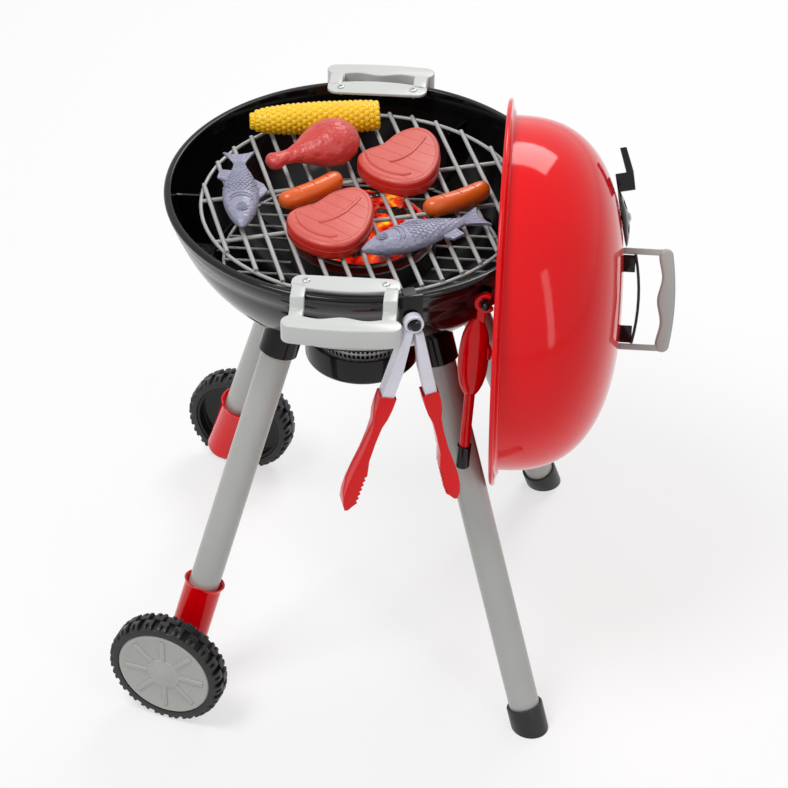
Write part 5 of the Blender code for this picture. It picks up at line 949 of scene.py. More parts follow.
def hubcap():
    half = TYRE_WIDTH / 2
    rim, face = TYRE_BORE - SEAT_GAP, half - RIB_RISE
    profile = [(0.0, half - CAP_THICK), (rim, half - CAP_THICK), (rim, face)]
    profile += [(rim - RIM_FLAT * share, half) for share in RIM_SHARES] + [(rim - RIM_FLAT, face)]
    for ring in range(BOSS_RINGS):
        radius = CAP_BOSS * (RING_SHARES[0] - RING_SHARES[1] * ring)
        rise = half + BOSS_RISE * ring / BOSS_RINGS
        profile += [(radius, face if ring == 0 else rise - RIB_RISE / 2), (radius - RIB_RISE, rise)]
    profile += [(0.0, half + BOSS_RISE * (BOSS_RINGS - 1) / BOSS_RINGS)]
    pieces = [spun(profile, 96)]
    start, end = CAP_BOSS * SPOKE_START_SHARE, rim - RIM_FLAT * SPOKE_END_SHARE
    spoke = block((end - start, RIB_WIDTH, 2 * RIB_RISE), ((start + end) / 2, 0, half - RIB_RISE), SPOKE_SOFT)
    pieces += [twin(spoke, around_z(TAU * number / RIB_COUNT)) for number in range(RIB_COUNT)]
    bpy.data.objects.remove(spoke)
    return join(pieces)


# %% Both wheels
for place in ("front", "rear"):
    joint = JOINTS[f"{place}_wheel_spin"]
    wheel_place = axis_place(joint["pos_m"], joint["axis"], (0, 0, 1))
    keep(put(tyre(), wheel_place), TYRE_BLACK, f"{place}_wheel_tyre")
    keep(put(hubcap(), wheel_place), HUB_GREY, f"{place}_wheel_hubcap")
    keep(put(hub(), wheel_place), GLOSS_BLACK, f"{place}_wheel_hub")

# %% [markdown]
# The lid is a deep red dome that hangs on its edge, so its axis lies level. Its open edge has a thick
# lip, which steps in to the dome over a soft shoulder. It is spun with its wall, then the damper's
# four air holes are cut through it.

# %% Lid shell
LID_LOW, LID_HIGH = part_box("lid_shell")
FLANGE_RADIUS, FLANGE_THICK, FLANGE_ROUND = (LID_HIGH.z - LID_LOW.z) / 2, 7.5 * MM, 1.5 * MM
SHOULDER_STEP, LIP_HALF = 2.6 * MM, 2.2 * MM
DOME_RADIUS, DOME_POWER, LID_WALL = 160.3 * MM, 2.59, 2.2 * MM
DOME_DEPTH = LID_HIGH.x - LID_LOW.x - FLANGE_THICK
MOUTH_RADIUS, MOUTH_DEPTH, MOUTH_TAPER = 164.5 * MM, 5 * MM, 3 * MM
LID_ROLL = math.radians(36)
LID_MIDDLE = box_middle("lid_shell")
roll = (0, math.cos(LID_ROLL), -math.sin(LID_ROLL))
LID_PLACE = axis_place((LID_LOW.x, LID_MIDDLE.y, LID_MIDDLE.z), (1, 0, 0), roll)


def dome_curve(inset, steps=30):
    """From the pole down to the shoulder."""
    points = []
    for step in range(steps + 1):
        angle = math.pi / 2 * (1 - step / steps)
        points.append(((DOME_RADIUS - inset) * math.cos(angle) ** (2 / DOME_POWER) if step else 0.0,
                       FLANGE_THICK + (DOME_DEPTH - inset) * math.sin(angle) ** (2 / DOME_POWER)))
    return points


flange = arc((DOME_RADIUS + SHOULDER_STEP, FLANGE_THICK - FLANGE_ROUND), FLANGE_ROUND, 90, 30, 4)
flange += [(DOME_RADIUS + 3 * SHOULDER_STEP, 2 * LIP_HALF + FLANGE_ROUND / 4)]
flange += arc((FLANGE_RADIUS - LIP_HALF, LIP_HALF), LIP_HALF, 90, -90, 12)
mouth = [(MOUTH_RADIUS, 0.0), (MOUTH_RADIUS, MOUTH_DEPTH), (DOME_RADIUS - LID_WALL, MOUTH_DEPTH + MOUTH_TAPER)]
under = [point for point in reversed(dome_curve(LID_WALL)) if point[1] > MOUTH_DEPTH + MOUTH_TAPER]
lid = put(spun(dome_curve(0.0) + flange + mouth + under, 160), LID_PLACE)

# %% Air holes and damper
turning = JOINTS["damper_turn"]
DAMPER_PLACE = axis_place(turning["pos_m"], turning["axis"], LID_PLACE.to_3x3() @ Vector((1, 0, 0)))
VENT_RADIUS, VENT_RING, VENT_COUNT, RIVET_HOLE, CUT_REACH = 4.5 * MM, 15.5 * MM, 4, 2.7 * MM, 13 * MM


def cutter(x, y, radius):
    return bar((x, y, -CUT_REACH), (x, y, CUT_REACH), radius, 24)


angles = [TAU * (number + 0.5) / VENT_COUNT for number in range(VENT_COUNT)]
holes = [cutter(VENT_RING * math.cos(angle), VENT_RING * math.sin(angle), VENT_RADIUS) for angle in angles]
cut(lid, put(join(holes), DAMPER_PLACE))
cut(lid, put(cutter(0, 0, RIVET_HOLE), DAMPER_PLACE))
keep(lid, RED, "lid_shell")
for node, paint, edge in (("vent_damper", GLOSS_BLACK, 0.4), ("damper_rivet", STEEL, 0.2),
                          ("lid_heat_shield", GLOSS_BLACK, 0.5)):
    keep(moulded(node, edge * MM), paint, node)

# %% [markdown]
# The lid's handle is the same wavy grip on two straight arms. It is made lying on the lid's own axis
# and carried to its place, and the arms end just clear of the dome.

# %% Lid handle
LID_GRIP_LENGTH, LID_GRIP_LOW, LID_GRIP_DEPTH, LID_GRIP_BOW = 93 * MM, 31 * MM, 11.5 * MM, 4.5 * MM
LID_GRIP_WIDTH, LID_ARM_SPACING, LID_ARM_WIDTH, LID_ARM_THICK = 18 * MM, 86 * MM, 16 * MM, 5.5 * MM


def dome_height(radius):
    share = radius / DOME_RADIUS
    return FLANGE_THICK + DOME_DEPTH * (1 - share ** DOME_POWER) ** (1 / DOME_POWER)


grip_low = FLANGE_THICK + DOME_DEPTH + LID_GRIP_LOW
outline = grip_outline(LID_GRIP_LENGTH, grip_low, LID_GRIP_DEPTH, LID_GRIP_BOW)
grip = raised(outline, -LID_GRIP_WIDTH / 2, LID_GRIP_WIDTH / 2)
round_edges(grip, GRIP_ROUND, 5)
parts = [grip]
for side in (-1, 1):
    middle = side * LID_ARM_SPACING / 2
    low = dome_height(abs(middle) + LID_ARM_THICK / 2)
    high = grip_low + LID_GRIP_DEPTH / 2
    near, far = middle - side * LID_ARM_THICK / 2, middle + side * LID_ARM_THICK / 2
    arm = [(near, dome_height(abs(near)) + SEAT_GAP), (far, low + SEAT_GAP), (far, high), (near, high)]
    parts.append(raised(arm, -LID_ARM_WIDTH / 2, LID_ARM_WIDTH / 2, PLATE_SOFT))
# Its grey is the side handles' plastic made darker, as painted shade.
keep(put(put(join(parts), ALONG_X), LID_PLACE), LID_GRIP_PAINTED_SHADE_GREY, "lid_handle")

# %% [markdown]
# The tongs hang from a headed peg in front. Their white bow keeps its solid, with soft edges. Each red
# jaw is a flat moulding with a sleeve, a waist and a toothed spoon, so its outline is drawn straight through
# a few given points, and the teeth are added on the side towards the other jaw.

# %% Smooth outlines
def smooth_loop(points, steps):
    """A closed Catmull-Rom curve through a few points."""
    outline, count = [], len(points)
    for index in range(count):
        before, start, end, after = (Vector(points[(index + shift) % count]) for shift in (-1, 0, 1, 2))
        for step in range(steps):
            t = step / steps
            square = (2 * before - 5 * start + 4 * end - after) * t ** 2
            cube = (3 * start - before - 3 * end + after) * t ** 3
            outline.append((2 * start + (end - before) * t + square + cube) / 2)
    return outline


# %% Tongs
CLIP_ANGLE, RING_OUT, RING_DROP = math.radians(-71.7), 185.3 * MM, 19.4058 * MM
TONGS_LEAN, TONGS_SPREAD, JAW_WIDTH, JAW_SOFT = math.radians(-3.2), math.radians(14.4), 14 * MM, 0.5 * MM
JAW_OUTER = ((7.3, 74), (7.3, 86), (6.4, 95), (4.2, 104), (3.6, 118), (4.2, 136), (6.0, 153), (7.3, 168),
             (7.2, 181), (5.4, 191), (2.0, 197.6), (-1.0, 196.8))
JAW_INNER = ((-5.4, 150), (-3.8, 142), (-3.4, 122), (-4.0, 106), (-6.3, 96), (-7.3, 86), (-7.3, 74))
TOOTH_TOP, TOOTH_LOW, TOOTH_COUNT, TOOTH_DEPTH, TOOTH_OUT, TOOTH_SLOPE = 156, 191, 7, 2.4, 7, 0.6
BOW_HALF, BOW_OUT, BOW_IN, SLEEVE_START, SLEEVE_FLOOR = 6 * MM, 6 * MM, 5 * MM, 72 * MM, 80.3 * MM
facing = Vector((math.cos(CLIP_ANGLE), math.sin(CLIP_ANGLE), 0))
hang = facing * RING_OUT + Vector((0, 0, RIM_HEIGHT - RING_DROP))
TONGS_PLACE = AROUND_KETTLE @ axis_place(hang, facing, Vector((0, 0, 1)).cross(facing))


def jaw(side):
    """A jaw in the plane of the tongs, from (outward, down) points in millimetres."""
    pitch = (TOOTH_LOW - TOOTH_TOP) / TOOTH_COUNT
    teeth = []
    for number in range(TOOTH_COUNT, 0, -1):
        teeth += [(TOOTH_DEPTH - TOOTH_OUT, TOOTH_TOP + number * pitch),
                  (-TOOTH_OUT, TOOTH_TOP + (number - TOOTH_SLOPE) * pitch)]
    angle = TONGS_LEAN + side * TONGS_SPREAD
    down = Vector((math.sin(angle), -math.cos(angle)))
    outward = side * Vector((math.cos(angle), math.sin(angle)))
    placed = [down * along * MM + outward * across * MM for across, along in (*JAW_OUTER, *teeth, *JAW_INNER)]
    piece = raised(placed, -JAW_WIDTH / 2, JAW_WIDTH / 2)
    corners = ((BOW_OUT + FIT, SLEEVE_START), (BOW_OUT + FIT, SLEEVE_FLOOR), (-BOW_IN - FIT, SLEEVE_FLOOR),
               (-BOW_IN - FIT, SLEEVE_START))
    pocket = [down * along + outward * across for across, along in corners]
    cut(piece, raised(pocket, -BOW_HALF - FIT, BOW_HALF + FIT))
    round_edges(piece, JAW_SOFT)
    return put(piece, TONGS_PLACE)


keep(jaw(-1), RED, "tongs_left_jaw")
keep(jaw(1), RED, "tongs_right_jaw")
for node, paint, edge in (("tongs_bow", WHITE, 1.0), ("tongs_right_arm", WHITE, 1.0),
                          ("tongs_clip", GLOSS_BLACK, 0.4), ("lighter_peg", GLOSS_BLACK, 0)):
    keep(moulded(node, edge * MM), paint, node)

# %% [markdown]
# The lighter hangs by an open hook on the ball peg. Its leaf-shaped body is drawn out ring by ring and
# subdivided, the hook is a raised arc, and a slot in its side holds the trigger. Its nozzle is an open
# black tube.

# %% Lighter
LIGHTER_LEAN, BALL_REST, HOOK_INNER, HOOK_WALL = math.radians(3.4), 168 * MM, 5.3 * MM, 4.2 * MM
HOOK_WIDTH, HOOK_SOFT, HOOK_START, HOOK_END, NECK_SHARES = 5 * MM, 1.2 * MM, 58, 322, (1.8, 0.9)
LIGHTER_SHIFT, LIGHTER_LENGTH, LIGHTER_TOP = -5.6 * MM, 83.5 * MM, 16.5 * MM
LIGHTER_HALF, BARREL_RADIUS, BARREL_LENGTH, NOZZLE_RADIUS = (13.6 * MM, 8.8 * MM), 4.7 * MM, 62 * MM, 6.2 * MM
LEAF_SHARES = ((0.0, 0.20), (0.03, 0.40), (0.08, 0.58), (0.20, 0.86), (0.38, 0.97), (0.62, 1.0), (0.80, 0.87),
               (0.92, 0.62), (0.975, 0.42), (1.0, 0.34))
TRIGGER_SLOT, TRIGGER_SOFT = (1.7 * MM, 7.6 * MM, 17.6 * MM, 50.5 * MM), 0.9 * MM
NOZZLE_LENGTH, NOZZLE_OVERLAP, NOZZLE_SOFT = 24 * MM, 6 * MM, 0.6 * MM
lean = Vector((math.sin(LIGHTER_LEAN), 0, math.cos(LIGHTER_LEAN)))
across = Vector((math.cos(LIGHTER_LEAN), 0, -math.sin(LIGHTER_LEAN)))
LIGHTER_PLACE = axis_place(box_middle("lighter_nozzle") - across * LIGHTER_SHIFT + lean * BALL_REST, lean)


def lighter():
    wide, deep = LIGHTER_HALF
    leaf = [(-LIGHTER_TOP - LIGHTER_LENGTH * along, LIGHTER_SHIFT, wide * share, deep * share)
            for along, share in LEAF_SHARES]
    body = drawn(leaf, 24)
    smooth_out(body)
    start, thick, tall, middle = TRIGGER_SLOT
    cut(body, block((wide, thick, tall), (start + wide / 2, 0, -middle)))
    hook = arc((0, 0), HOOK_INNER + HOOK_WALL, HOOK_START, HOOK_END, 32)
    hook += arc((0, 0), HOOK_INNER, HOOK_END, HOOK_START, 32)
    hook = put(raised(hook, -HOOK_WIDTH / 2, HOOK_WIDTH / 2, HOOK_SOFT), UPRIGHT)
    neck_low, neck_high = -LIGHTER_TOP - HOOK_WALL, -HOOK_INNER - HOOK_WALL / 2
    neck = block((NECK_SHARES[0] * HOOK_WALL, HOOK_WIDTH * NECK_SHARES[1], neck_high - neck_low),
                 (LIGHTER_SHIFT / 2, 0, (neck_low + neck_high) / 2), HOOK_SOFT)
    low = -LIGHTER_TOP - LIGHTER_LENGTH
    barrel = bar((LIGHTER_SHIFT, 0, low + HOOK_WALL), (LIGHTER_SHIFT, 0, low - BARREL_LENGTH), BARREL_RADIUS, 40)
    return put(join([body, hook, neck, barrel]), LIGHTER_PLACE)


def nozzle():
    top = -LIGHTER_TOP - LIGHTER_LENGTH - BARREL_LENGTH + NOZZLE_OVERLAP
    low, inner, outer, soft = top - NOZZLE_LENGTH, BARREL_RADIUS + FIT, NOZZLE_RADIUS, NOZZLE_SOFT
    mouth, floor = low + NOZZLE_OVERLAP, top - NOZZLE_OVERLAP - FIT
    profile = [(inner, top), (outer - soft, top), (outer, top - soft), (outer, low + soft), (outer - soft, low),
               (inner, low), (inner, mouth), (0.0, mouth), (0.0, floor), (inner, floor), (inner, top)]
    return put(spun(profile, 48), LIGHTER_PLACE @ Matrix.Translation((LIGHTER_SHIFT, 0, 0)))


keep(lighter(), RED, "lighter_body")
keep(nozzle(), GLOSS_BLACK, "lighter_nozzle")
keep(moulded("lighter_trigger", TRIGGER_SOFT), RED, "lighter_trigger", slot="red")

# %% [markdown]
# Toy food is hollow soft plastic. Each piece is made lying on its own length and then set on its
# solid's place: turned, centred over it and resting at its height.

# %% Set food on the grate
def food_seat(piece, node, turn):
    """Turn a piece and set it where its solid lies."""
    put(piece, around_z(turn))
    low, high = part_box(node)
    points = [vert.co for vert in piece.data.vertices]
    middle = [(min(p[axis] for p in points) + max(p[axis] for p in points)) / 2 for axis in (0, 1)]
    bottom = min(p.z for p in points)
    return put(piece, Matrix.Translation(((low.x + high.x) / 2 - middle[0], (low.y + high.y) / 2 - middle[1],
                                          low.z - bottom)))


# %% Corn cob
CORN_LENGTH, CORN_RADIUS, CORN_TURN = 118 * MM, 15 * MM, math.radians(10)
KERNEL_ROWS, KERNELS_ALONG, KERNEL_RISE, KERNEL_FILL = 15, 25, 2.2 * MM, 0.56
CORE_LENGTH_SHARE, CORE_SHARE = 0.98, 0.93
CORN_SHARES = ((0.0, 0.86), (0.03, 0.95), (0.15, 1.0), (0.45, 1.03), (0.70, 0.97), (0.86, 0.84), (0.93, 0.73),
               (0.97, 0.60), (0.99, 0.46))


def share_at(table, along):
    for (low, first), (high, last) in zip(table, table[1:]):
        if along <= high:
            return first + (last - first) * (along - low) / (high - low)
    return table[-1][1]


def corn_cob():
    core = [((share - 0.5) * CORN_LENGTH * CORE_LENGTH_SHARE, 0, CORN_RADIUS * size * CORE_SHARE,
             CORN_RADIUS * size * CORE_SHARE) for share, size in CORN_SHARES]
    pieces = [drawn(core, 24)]
    kernel = fresh(bpy.ops.mesh.primitive_ico_sphere_add, subdivisions=2, radius=1)
    for along in range(KERNELS_ALONG):
        share = (along + 0.5) / KERNELS_ALONG
        radius = CORN_RADIUS * share_at(CORN_SHARES, share)
        size = (KERNEL_RISE, TAU * radius / KERNEL_ROWS * KERNEL_FILL, CORN_LENGTH / KERNELS_ALONG * KERNEL_FILL)
        for row in range(KERNEL_ROWS):
            turn = around_z(TAU * (row + along % 2 / 2) / KERNEL_ROWS)
            place = turn @ Matrix.Translation((radius - KERNEL_RISE, 0, (share - 0.5) * CORN_LENGTH))
            pieces.append(twin(kernel, place @ Matrix.Diagonal((*size, 1))))
    bpy.data.objects.remove(kernel)
    return put(join(pieces), axis_place((0, 0, 0), (-1, 0, 0), (0, 0, 1)))


keep(food_seat(corn_cob(), "corn", CORN_TURN), CORN, "corn", smooth=60)

# %% [markdown]
# The drumstick and the sausages are drawn out ring by ring and smoothed by subdivision. The meat's
# uneven skin is a gentle displacement, and the sausages get three slanted cuts on top.

# %% Drumstick
DRUM_LENGTH, DRUM_RADIUS, DRUM_SQUASH, DRUM_TURN = 92 * MM, 25.2 * MM, 0.84, math.radians(36.4)
DIMPLE_SIZE, DIMPLE_DEPTH = 8 * MM, 1.9 * MM
DRUM_SHARES = ((0.0, 0.18), (0.03, 0.33), (0.08, 0.37), (0.13, 0.32), (0.20, 0.265), (0.30, 0.33), (0.42, 0.56),
               (0.55, 0.84), (0.68, 1.0), (0.80, 0.97), (0.91, 0.74), (0.975, 0.44), (1.0, 0.18))
sections = [((share - 0.5) * DRUM_LENGTH, 0, DRUM_RADIUS * size, DRUM_RADIUS * DRUM_SQUASH * size)
            for share, size in DRUM_SHARES]
drum = drawn(sections, 24)
smooth_out(drum, 3)
skin = bpy.data.textures.new("uneven skin", "CLOUDS")
skin.noise_scale = DIMPLE_SIZE
use(drum, "DISPLACE", texture=skin, texture_coords="LOCAL", strength=DIMPLE_DEPTH, mid_level=0.5)
put(drum, ALONG_X)
keep(food_seat(drum, "drumstick", DRUM_TURN), MEAT, "drumstick", smooth=80)

# %% Sausages
SAUSAGE_LENGTH, SAUSAGE_RADIUS, SAUSAGE_BEND = 67 * MM, 9.5 * MM, -4 * MM
SAUSAGE_TURNS = {"left_sausage": math.radians(42), "right_sausage": math.radians(36)}
SAUSAGE_SHARES = ((0.0, 0.26), (0.035, 0.68), (0.10, 0.94), (0.20, 1.0), (0.35, 1.0), (0.5, 1.0), (0.65, 1.0),
                  (0.80, 1.0), (0.90, 0.94), (0.965, 0.68), (1.0, 0.26))
CUT_SPACING, CUT_WIDTH, CUT_DEPTH, CUT_SLANT = 16 * MM, 1.0 * MM, 1.5 * MM, math.radians(14)
CUT_LENGTH, CUT_SOFT = SAUSAGE_RADIUS * 1.3, 0.4 * MM


def sausage():
    sections = [((share - 0.5) * SAUSAGE_LENGTH, SAUSAGE_BEND * (1 - (2 * share - 1) ** 2),
                 SAUSAGE_RADIUS * size, SAUSAGE_RADIUS * size) for share, size in SAUSAGE_SHARES]
    piece = drawn(sections, 20)
    smooth_out(piece)
    put(piece, ALONG_X)
    for number in (-1, 0, 1):
        knife = block((CUT_WIDTH, CUT_LENGTH, 2 * CUT_DEPTH), (0, 0, 0), CUT_SOFT)
        x = number * CUT_SPACING
        bend = SAUSAGE_BEND * (1 - (2 * x / SAUSAGE_LENGTH) ** 2)
        cut(piece, put(knife, Matrix.Translation((x, bend, SAUSAGE_RADIUS)) @ around_z(CUT_SLANT)))
    return piece


for node, turn in SAUSAGE_TURNS.items():
    keep(food_seat(sausage(), node, turn), SAUSAGE, node, smooth=45)

# %% [markdown]
# A steak is a kidney-shaped slab with red sides and a paler cut face. The face has a raised bone
# line, a fat edge along its long side, a border and a few light scores, and a parting line runs
# round the side. Its edge is the smoothed outline of the solid, and the top gets the paler plastic.

# %% Steaks
STEAK_LENGTH, STEAK_WIDTH, STEAK_THICK, STEAK_ROUND = 94.5 * MM, 73 * MM, 17 * MM, 4.2 * MM
STEAK_TURNS = {"rear_steak": 0.0, "front_steak": math.radians(-5.5)}
STEAK_SHARES = ((0.15, 0.53), (0.35, 0.44), (0.46, 0.20), (0.46, -0.12), (0.34, -0.36), (0.11, -0.46),
                (-0.16, -0.42), (-0.39, -0.29), (-0.52, -0.11), (-0.49, 0.05), (-0.26, 0.20), (-0.08, 0.42))
BONE_SHARES = ((0.26, 0.34), (0.20, 0.20), (0.12, 0.06), (0.00, -0.06), (-0.12, -0.12))
FAT_SHARES = ((-0.42, 0.00), (-0.36, -0.13), (-0.24, -0.24), (-0.08, -0.31), (0.06, -0.33), (0.14, -0.30))
SCORE_PITCH, SCORE_WIDTH, SCORE_DEPTH, SCORE_TURN = 14 * MM, 0.4 * MM, 0.35 * MM, math.radians(62)
SCORE_LENGTH, RIDGE_RADIUS, RIDGE_SINK, RIDGE_STEPS = STEAK_LENGTH * 0.7, 2.0 * MM, 0.5 * MM, 5
BORDER_SHARE, BORDER_RADIUS, PARTING_SHARE, PARTING_HEIGHT, PARTING_RADIUS = 0.885, 0.8 * MM, 0.996, 0.52, 0.48 * MM


def ridge(shares):
    """A soft raised line through a few points of a steak's face, smoothed like its outline."""
    points = [(x * STEAK_WIDTH, y * STEAK_LENGTH) for x, y in shares]
    there_and_back = smooth_loop(points + points[-2:0:-1], RIDGE_STEPS)
    line = there_and_back[:RIDGE_STEPS * (len(points) - 1) + 1]
    return wire_along([(x, y, STEAK_THICK - RIDGE_SINK) for x, y in line], RIDGE_RADIUS)


def ring_along(outline, share, height, radius):
    """A closed raised line that follows a steak's edge at a share of its size."""
    points = [(x * share, y * share, height) for x, y in outline]
    return wire_along(points + points[:1], radius)


def steak():
    outline = smooth_loop([(x * STEAK_WIDTH, y * STEAK_LENGTH) for x, y in STEAK_SHARES], 8)
    piece = raised(outline, 0, STEAK_THICK)
    round_edges(piece, STEAK_ROUND, 5)
    for number in (-2, -1, 0, 1, 2):
        knife = block((SCORE_WIDTH, SCORE_LENGTH, 2 * SCORE_DEPTH), (number * SCORE_PITCH, 0, STEAK_THICK))
        cut(piece, put(knife, around_z(SCORE_TURN)))
    border = ring_along(outline, BORDER_SHARE, STEAK_THICK - BORDER_RADIUS / 2, BORDER_RADIUS)
    parting = ring_along(outline, PARTING_SHARE, STEAK_THICK * PARTING_HEIGHT, PARTING_RADIUS)
    piece = join([piece, ridge(BONE_SHARES), ridge(FAT_SHARES), border, parting])
    two_paints(piece, STEAK_SIDE, STEAK_TOP)
    for face in piece.data.polygons:
        face.material_index = 1 if face.center.z > STEAK_THICK - STEAK_ROUND / 3 else 0
    return piece


for node, turn in STEAK_TURNS.items():
    keep(food_seat(steak(), node, turn), None, node, smooth=40)

# %% [markdown]
# A fish lies on its side: a tapering oval body, a forked tail and two fins with moulded rays, two gill
# lines, a ringed eye and rows of scales. Rays, rings and scales are fine raised lines laid on the
# body's own curve, which stands out more crisply than a bump does.

# %% Fish
FISH_LENGTH, FISH_HEIGHT, FISH_THICK, FIN_THICK = 119 * MM, 34 * MM, 21 * MM, 3 * MM
FISH_SHARES = ((0.0, 0.07, 0.10), (0.03, 0.24, 0.34), (0.08, 0.44, 0.60), (0.15, 0.66, 0.82), (0.30, 0.94, 1.0),
               (0.45, 1.0, 0.96), (0.60, 0.80, 0.72), (0.72, 0.52, 0.46), (0.80, 0.34, 0.30), (0.86, 0.24, 0.16))
TAIL_SHARES = ((0.80, -0.13), (0.88, -0.20), (0.94, -0.32), (1.0, -0.44), (0.97, -0.22), (0.955, 0.0),
               (0.97, 0.22), (1.0, 0.44), (0.94, 0.32), (0.88, 0.20), (0.80, 0.13))
DORSAL_SHARES = ((0.34, 0.40), (0.40, 0.58), (0.46, 0.70), (0.54, 0.62), (0.60, 0.42), (0.62, 0.30))
BELLY_SHARES = ((0.60, -0.30), (0.63, -0.48), (0.66, -0.60), (0.76, -0.52), (0.75, -0.34), (0.74, -0.20))
EYE_SHARES, EYE_RADII, EYE_WIRE, EYE_LIFT = (0.165, 0.02), (4.4 * MM, 2.6 * MM, 0.9 * MM), 0.6 * MM, 0.45 * MM
EYE_STEPS, GILL_SHARES, GILL_SIZE_SHARES = 24, (0.25, 0.285), (0.05, 0.30)
GILL_ANGLES = [math.radians(angle) for angle in range(-75, 76, 15)]
SCALE_WIRE, SCALE_START, SCALE_PITCH, SCALE_COLUMNS, SCALE_ROWS = 0.42 * MM, 0.36, (0.030, 0.115), 16, 4
SCALE_REACH, SCALE_EDGE, SCALE_ANGLES = 0.8, 0.92, [math.radians(angle) for angle in (-80, -40, 0, 40, 80)]
TAIL_RAYS = [((0.84, 0.15 * share), (0.93 + 0.05 * abs(share), 0.38 * share))
             for share in (-1, -0.6, -0.2, 0.2, 0.6, 1)]
DORSAL_RAYS = [((0.37 + 0.05 * step, 0.40), (0.41 + 0.045 * step, 0.58 - 0.02 * abs(step - 1)))
               for step in range(4)]
BELLY_RAYS = [((0.63 + 0.03 * step, -0.32), (0.65 + 0.03 * step, -0.52)) for step in range(4)]
RAY_WIRE, RAY_SINK, FIN_SOFT = 0.55 * MM, 0.1 * MM, 0.9 * MM
FISH_FLIPS = {"front_fish": 1, "left_fish": -1}


def fish_side(along, high):
    """Height of the body's upper side over a point that is given in shares of length and height."""
    half_high = share_at([(share, value) for share, value, _ in FISH_SHARES], along) / 2
    thick = share_at([(share, value) for share, _, value in FISH_SHARES], along)
    return FISH_THICK / 2 * (1 + thick * math.sqrt(max(1 - (high / half_high) ** 2, 0)))


def fish_line(points, flip, wire, lift=0.0):
    """A fine raised line over the body, or over a fin where its points have a height of their own."""
    spots = []
    for along, high, *height in points:
        top = height[0] if height else fish_side(along, high)
        spots.append(((along - 0.5) * FISH_LENGTH, flip * high * FISH_HEIGHT, top + lift))
    return wire_along(spots, wire)


def fish_scales(flip):
    """Rows of small raised arcs, each row shifted by half a scale."""
    step_along, step_high = SCALE_PITCH
    arcs = []
    for column in range(SCALE_COLUMNS):
        along = SCALE_START + column * step_along
        half_high = share_at([(share, value) for share, value, _ in FISH_SHARES], along) / 2
        for row in range(-SCALE_ROWS, SCALE_ROWS + 1):
            high = (row + column % 2 / 2) * step_high
            if abs(high) + step_high / 2 <= half_high * SCALE_EDGE:
                scale = [(along + step_along * SCALE_REACH * math.cos(turn), high + step_high / 2 * math.sin(turn))
                         for turn in SCALE_ANGLES]
                arcs.append(fish_line(scale, flip, SCALE_WIRE))
    return arcs


def fish(flip):
    sections = [((along - 0.5) * FISH_LENGTH, 0, FISH_THICK / 2 * thick, FISH_HEIGHT / 2 * high)
                for along, high, thick in FISH_SHARES]
    body = drawn(sections, 24)
    smooth_out(body)
    put(body, axis_place((0, 0, FISH_THICK / 2), (1, 0, 0), (0, 0, 1)))
    pieces = [body]
    for shares in (TAIL_SHARES, DORSAL_SHARES, BELLY_SHARES):
        outline = [((along - 0.5) * FISH_LENGTH, flip * high * FISH_HEIGHT) for along, high in shares]
        pieces.append(raised(outline, FISH_THICK / 2 - FIN_THICK / 2, FISH_THICK / 2 + FIN_THICK / 2, FIN_SOFT))
    turns = [TAU * step / EYE_STEPS for step in range(EYE_STEPS + 1)]
    for radius in EYE_RADII:
        eye = [(EYE_SHARES[0] + radius / FISH_LENGTH * math.cos(turn),
                EYE_SHARES[1] + radius / FISH_HEIGHT * math.sin(turn)) for turn in turns]
        pieces.append(fish_line(eye, flip, EYE_WIRE, EYE_LIFT))
    for share in GILL_SHARES:
        gill = [(share + GILL_SIZE_SHARES[0] * math.cos(step), GILL_SIZE_SHARES[1] * math.sin(step))
                for step in GILL_ANGLES]
        pieces.append(fish_line(gill, flip, EYE_WIRE))
    pieces += fish_scales(flip)
    fin_top = (FISH_THICK + FIN_THICK) / 2 - RAY_SINK
    for (along, high), (far, out) in TAIL_RAYS + DORSAL_RAYS + BELLY_RAYS:
        pieces.append(fish_line([(along, high, fin_top), (far, out, fin_top)], flip, RAY_WIRE))
    return join(pieces)


for node, turn in FISH_TURNS.items():
    keep(food_seat(fish(FISH_FLIPS[node]), node, turn), FISH[node], node, smooth=50)

# %% [markdown]
# The floor is a plain pale sheet. For the camera, and in gloss and clear plastic, part of its white is
# added as light of its own, so it looks white and still keeps the toy's soft shadow. The world is
# white in the same rays. Two soft square lamps and a tall narrow one give the gloss its bright
# patches and streaks.

# %% Floor and world
FLOOR_SIZE, FLOOR_GAP, FLOOR_WHITE, WORLD_LIGHT = 12.0, 0.2 * MM, 0.62, 0.42
floor = fresh(bpy.ops.mesh.primitive_plane_add, size=FLOOR_SIZE, location=(0, 0, CAD_LOW.z - FLOOR_GAP))
floor.name = "studio_floor"
paper = bpy.data.materials.new("pale_studio_paper")
paper.use_nodes = True


def seen_white(tree):
    """One in the rays that show a background: camera, glossy and transmission."""
    rays = add_node(tree, "ShaderNodeLightPath")
    either = add_node(tree, "ShaderNodeMath", {0: rays.outputs["Is Camera Ray"], 1: rays.outputs["Is Glossy Ray"]},
                      operation="MAXIMUM")
    return add_node(tree, "ShaderNodeMath", {0: either.outputs[0], 1: rays.outputs["Is Transmission Ray"]},
                    operation="MAXIMUM").outputs[0]


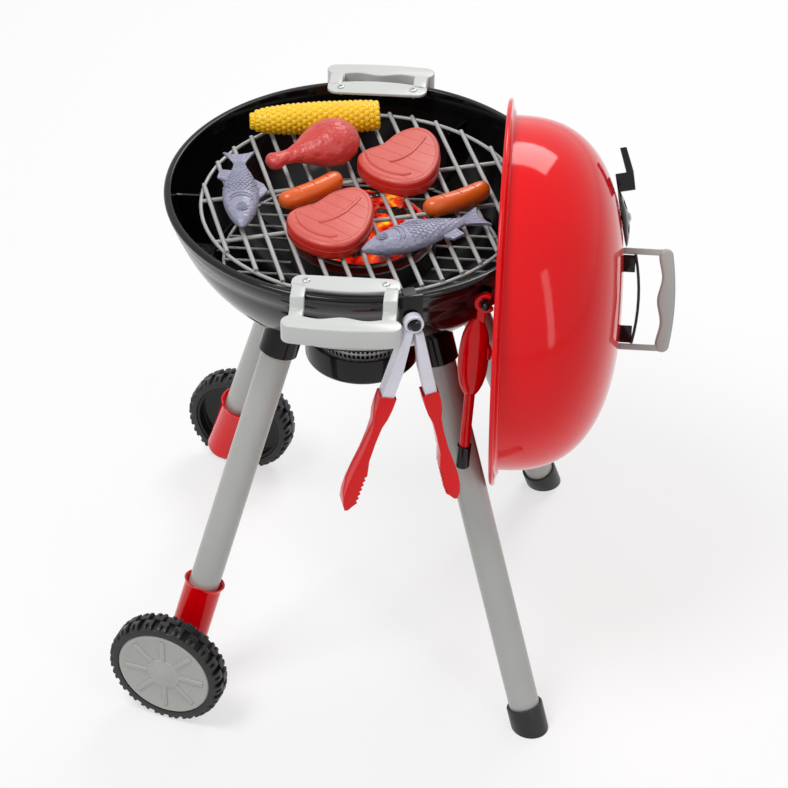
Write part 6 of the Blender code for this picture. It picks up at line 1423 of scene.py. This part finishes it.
sheet = paper.node_tree.nodes["Principled BSDF"]
sheet.inputs["Base Color"].default_value = linear("#f4f4f4")
sheet.inputs["Roughness"].default_value = 0.9
white = add_node(paper.node_tree, "ShaderNodeEmission", {}, {"Color": (1, 1, 1, 1), "Strength": 1.0})
share = add_node(paper.node_tree, "ShaderNodeMath", {0: seen_white(paper.node_tree)}, {1: FLOOR_WHITE},
                 operation="MULTIPLY")
lit = add_node(paper.node_tree, "ShaderNodeMixShader",
               {0: share.outputs[0], 1: sheet.outputs["BSDF"], 2: white.outputs["Emission"]})
paper.node_tree.links.new(lit.outputs["Shader"], paper.node_tree.nodes["Material Output"].inputs["Surface"])
floor.data.materials.append(paper)

world = bpy.data.worlds.new("white_studio")
bpy.context.scene.world = world
world.use_nodes = True
tree = world.node_tree
sky = tree.nodes["Background"]
sky.inputs["Color"].default_value = (1, 1, 1, 1)
strength = add_node(tree, "ShaderNodeMapRange", {"Value": seen_white(tree)}, {"To Min": WORLD_LIGHT, "To Max": 1.0})
tree.links.new(strength.outputs["Result"], sky.inputs["Strength"])

# %% Lamps
LAMP_AIM = Vector((0, 0, 0.3))
LAMPS = (("key", (-0.9, -0.7, 2.6), (0.9, 0.9), 34), ("strip", (1.5, -1.7, 1.2), (0.35, 2.0), 7),
         ("back", (0.5, 1.7, 2.2), (1.0, 1.0), 26))


def looking(place, aim):
    return Matrix.Translation(place) @ (aim - place).to_track_quat("-Z", "Y").to_matrix().to_4x4()


for name, place, (wide, tall), power in LAMPS:
    data = bpy.data.lights.new(name, "AREA")
    data.shape, data.size, data.size_y, data.energy = "RECTANGLE", wide, tall, power
    lamp = bpy.data.objects.new(name, data)
    bpy.context.collection.objects.link(lamp)
    lamp.matrix_world = looking(Vector(place), LAMP_AIM)

# %% [markdown]
# The camera stands where the photograph was taken from, at about 38 degrees above the horizon and a
# little to the right of the front, with a long lens.

# %% Camera
CAMERA_PLACE, CAMERA_AIM = Vector((0.15098, -2.05524, 1.84353)), Vector((0.00423, -0.08624, 0.31003))
CAMERA_LENS, CAMERA_ROLL = 127.9, math.radians(0.40)
data = bpy.data.cameras.new("camera")
data.lens, data.sensor_width = CAMERA_LENS, 36
camera = bpy.data.objects.new("camera", data)
bpy.context.collection.objects.link(camera)
camera.matrix_world = looking(CAMERA_PLACE, CAMERA_AIM) @ around_z(CAMERA_ROLL)
bpy.context.scene.camera = camera
bpy.context.scene.view_settings.view_transform = "Standard"
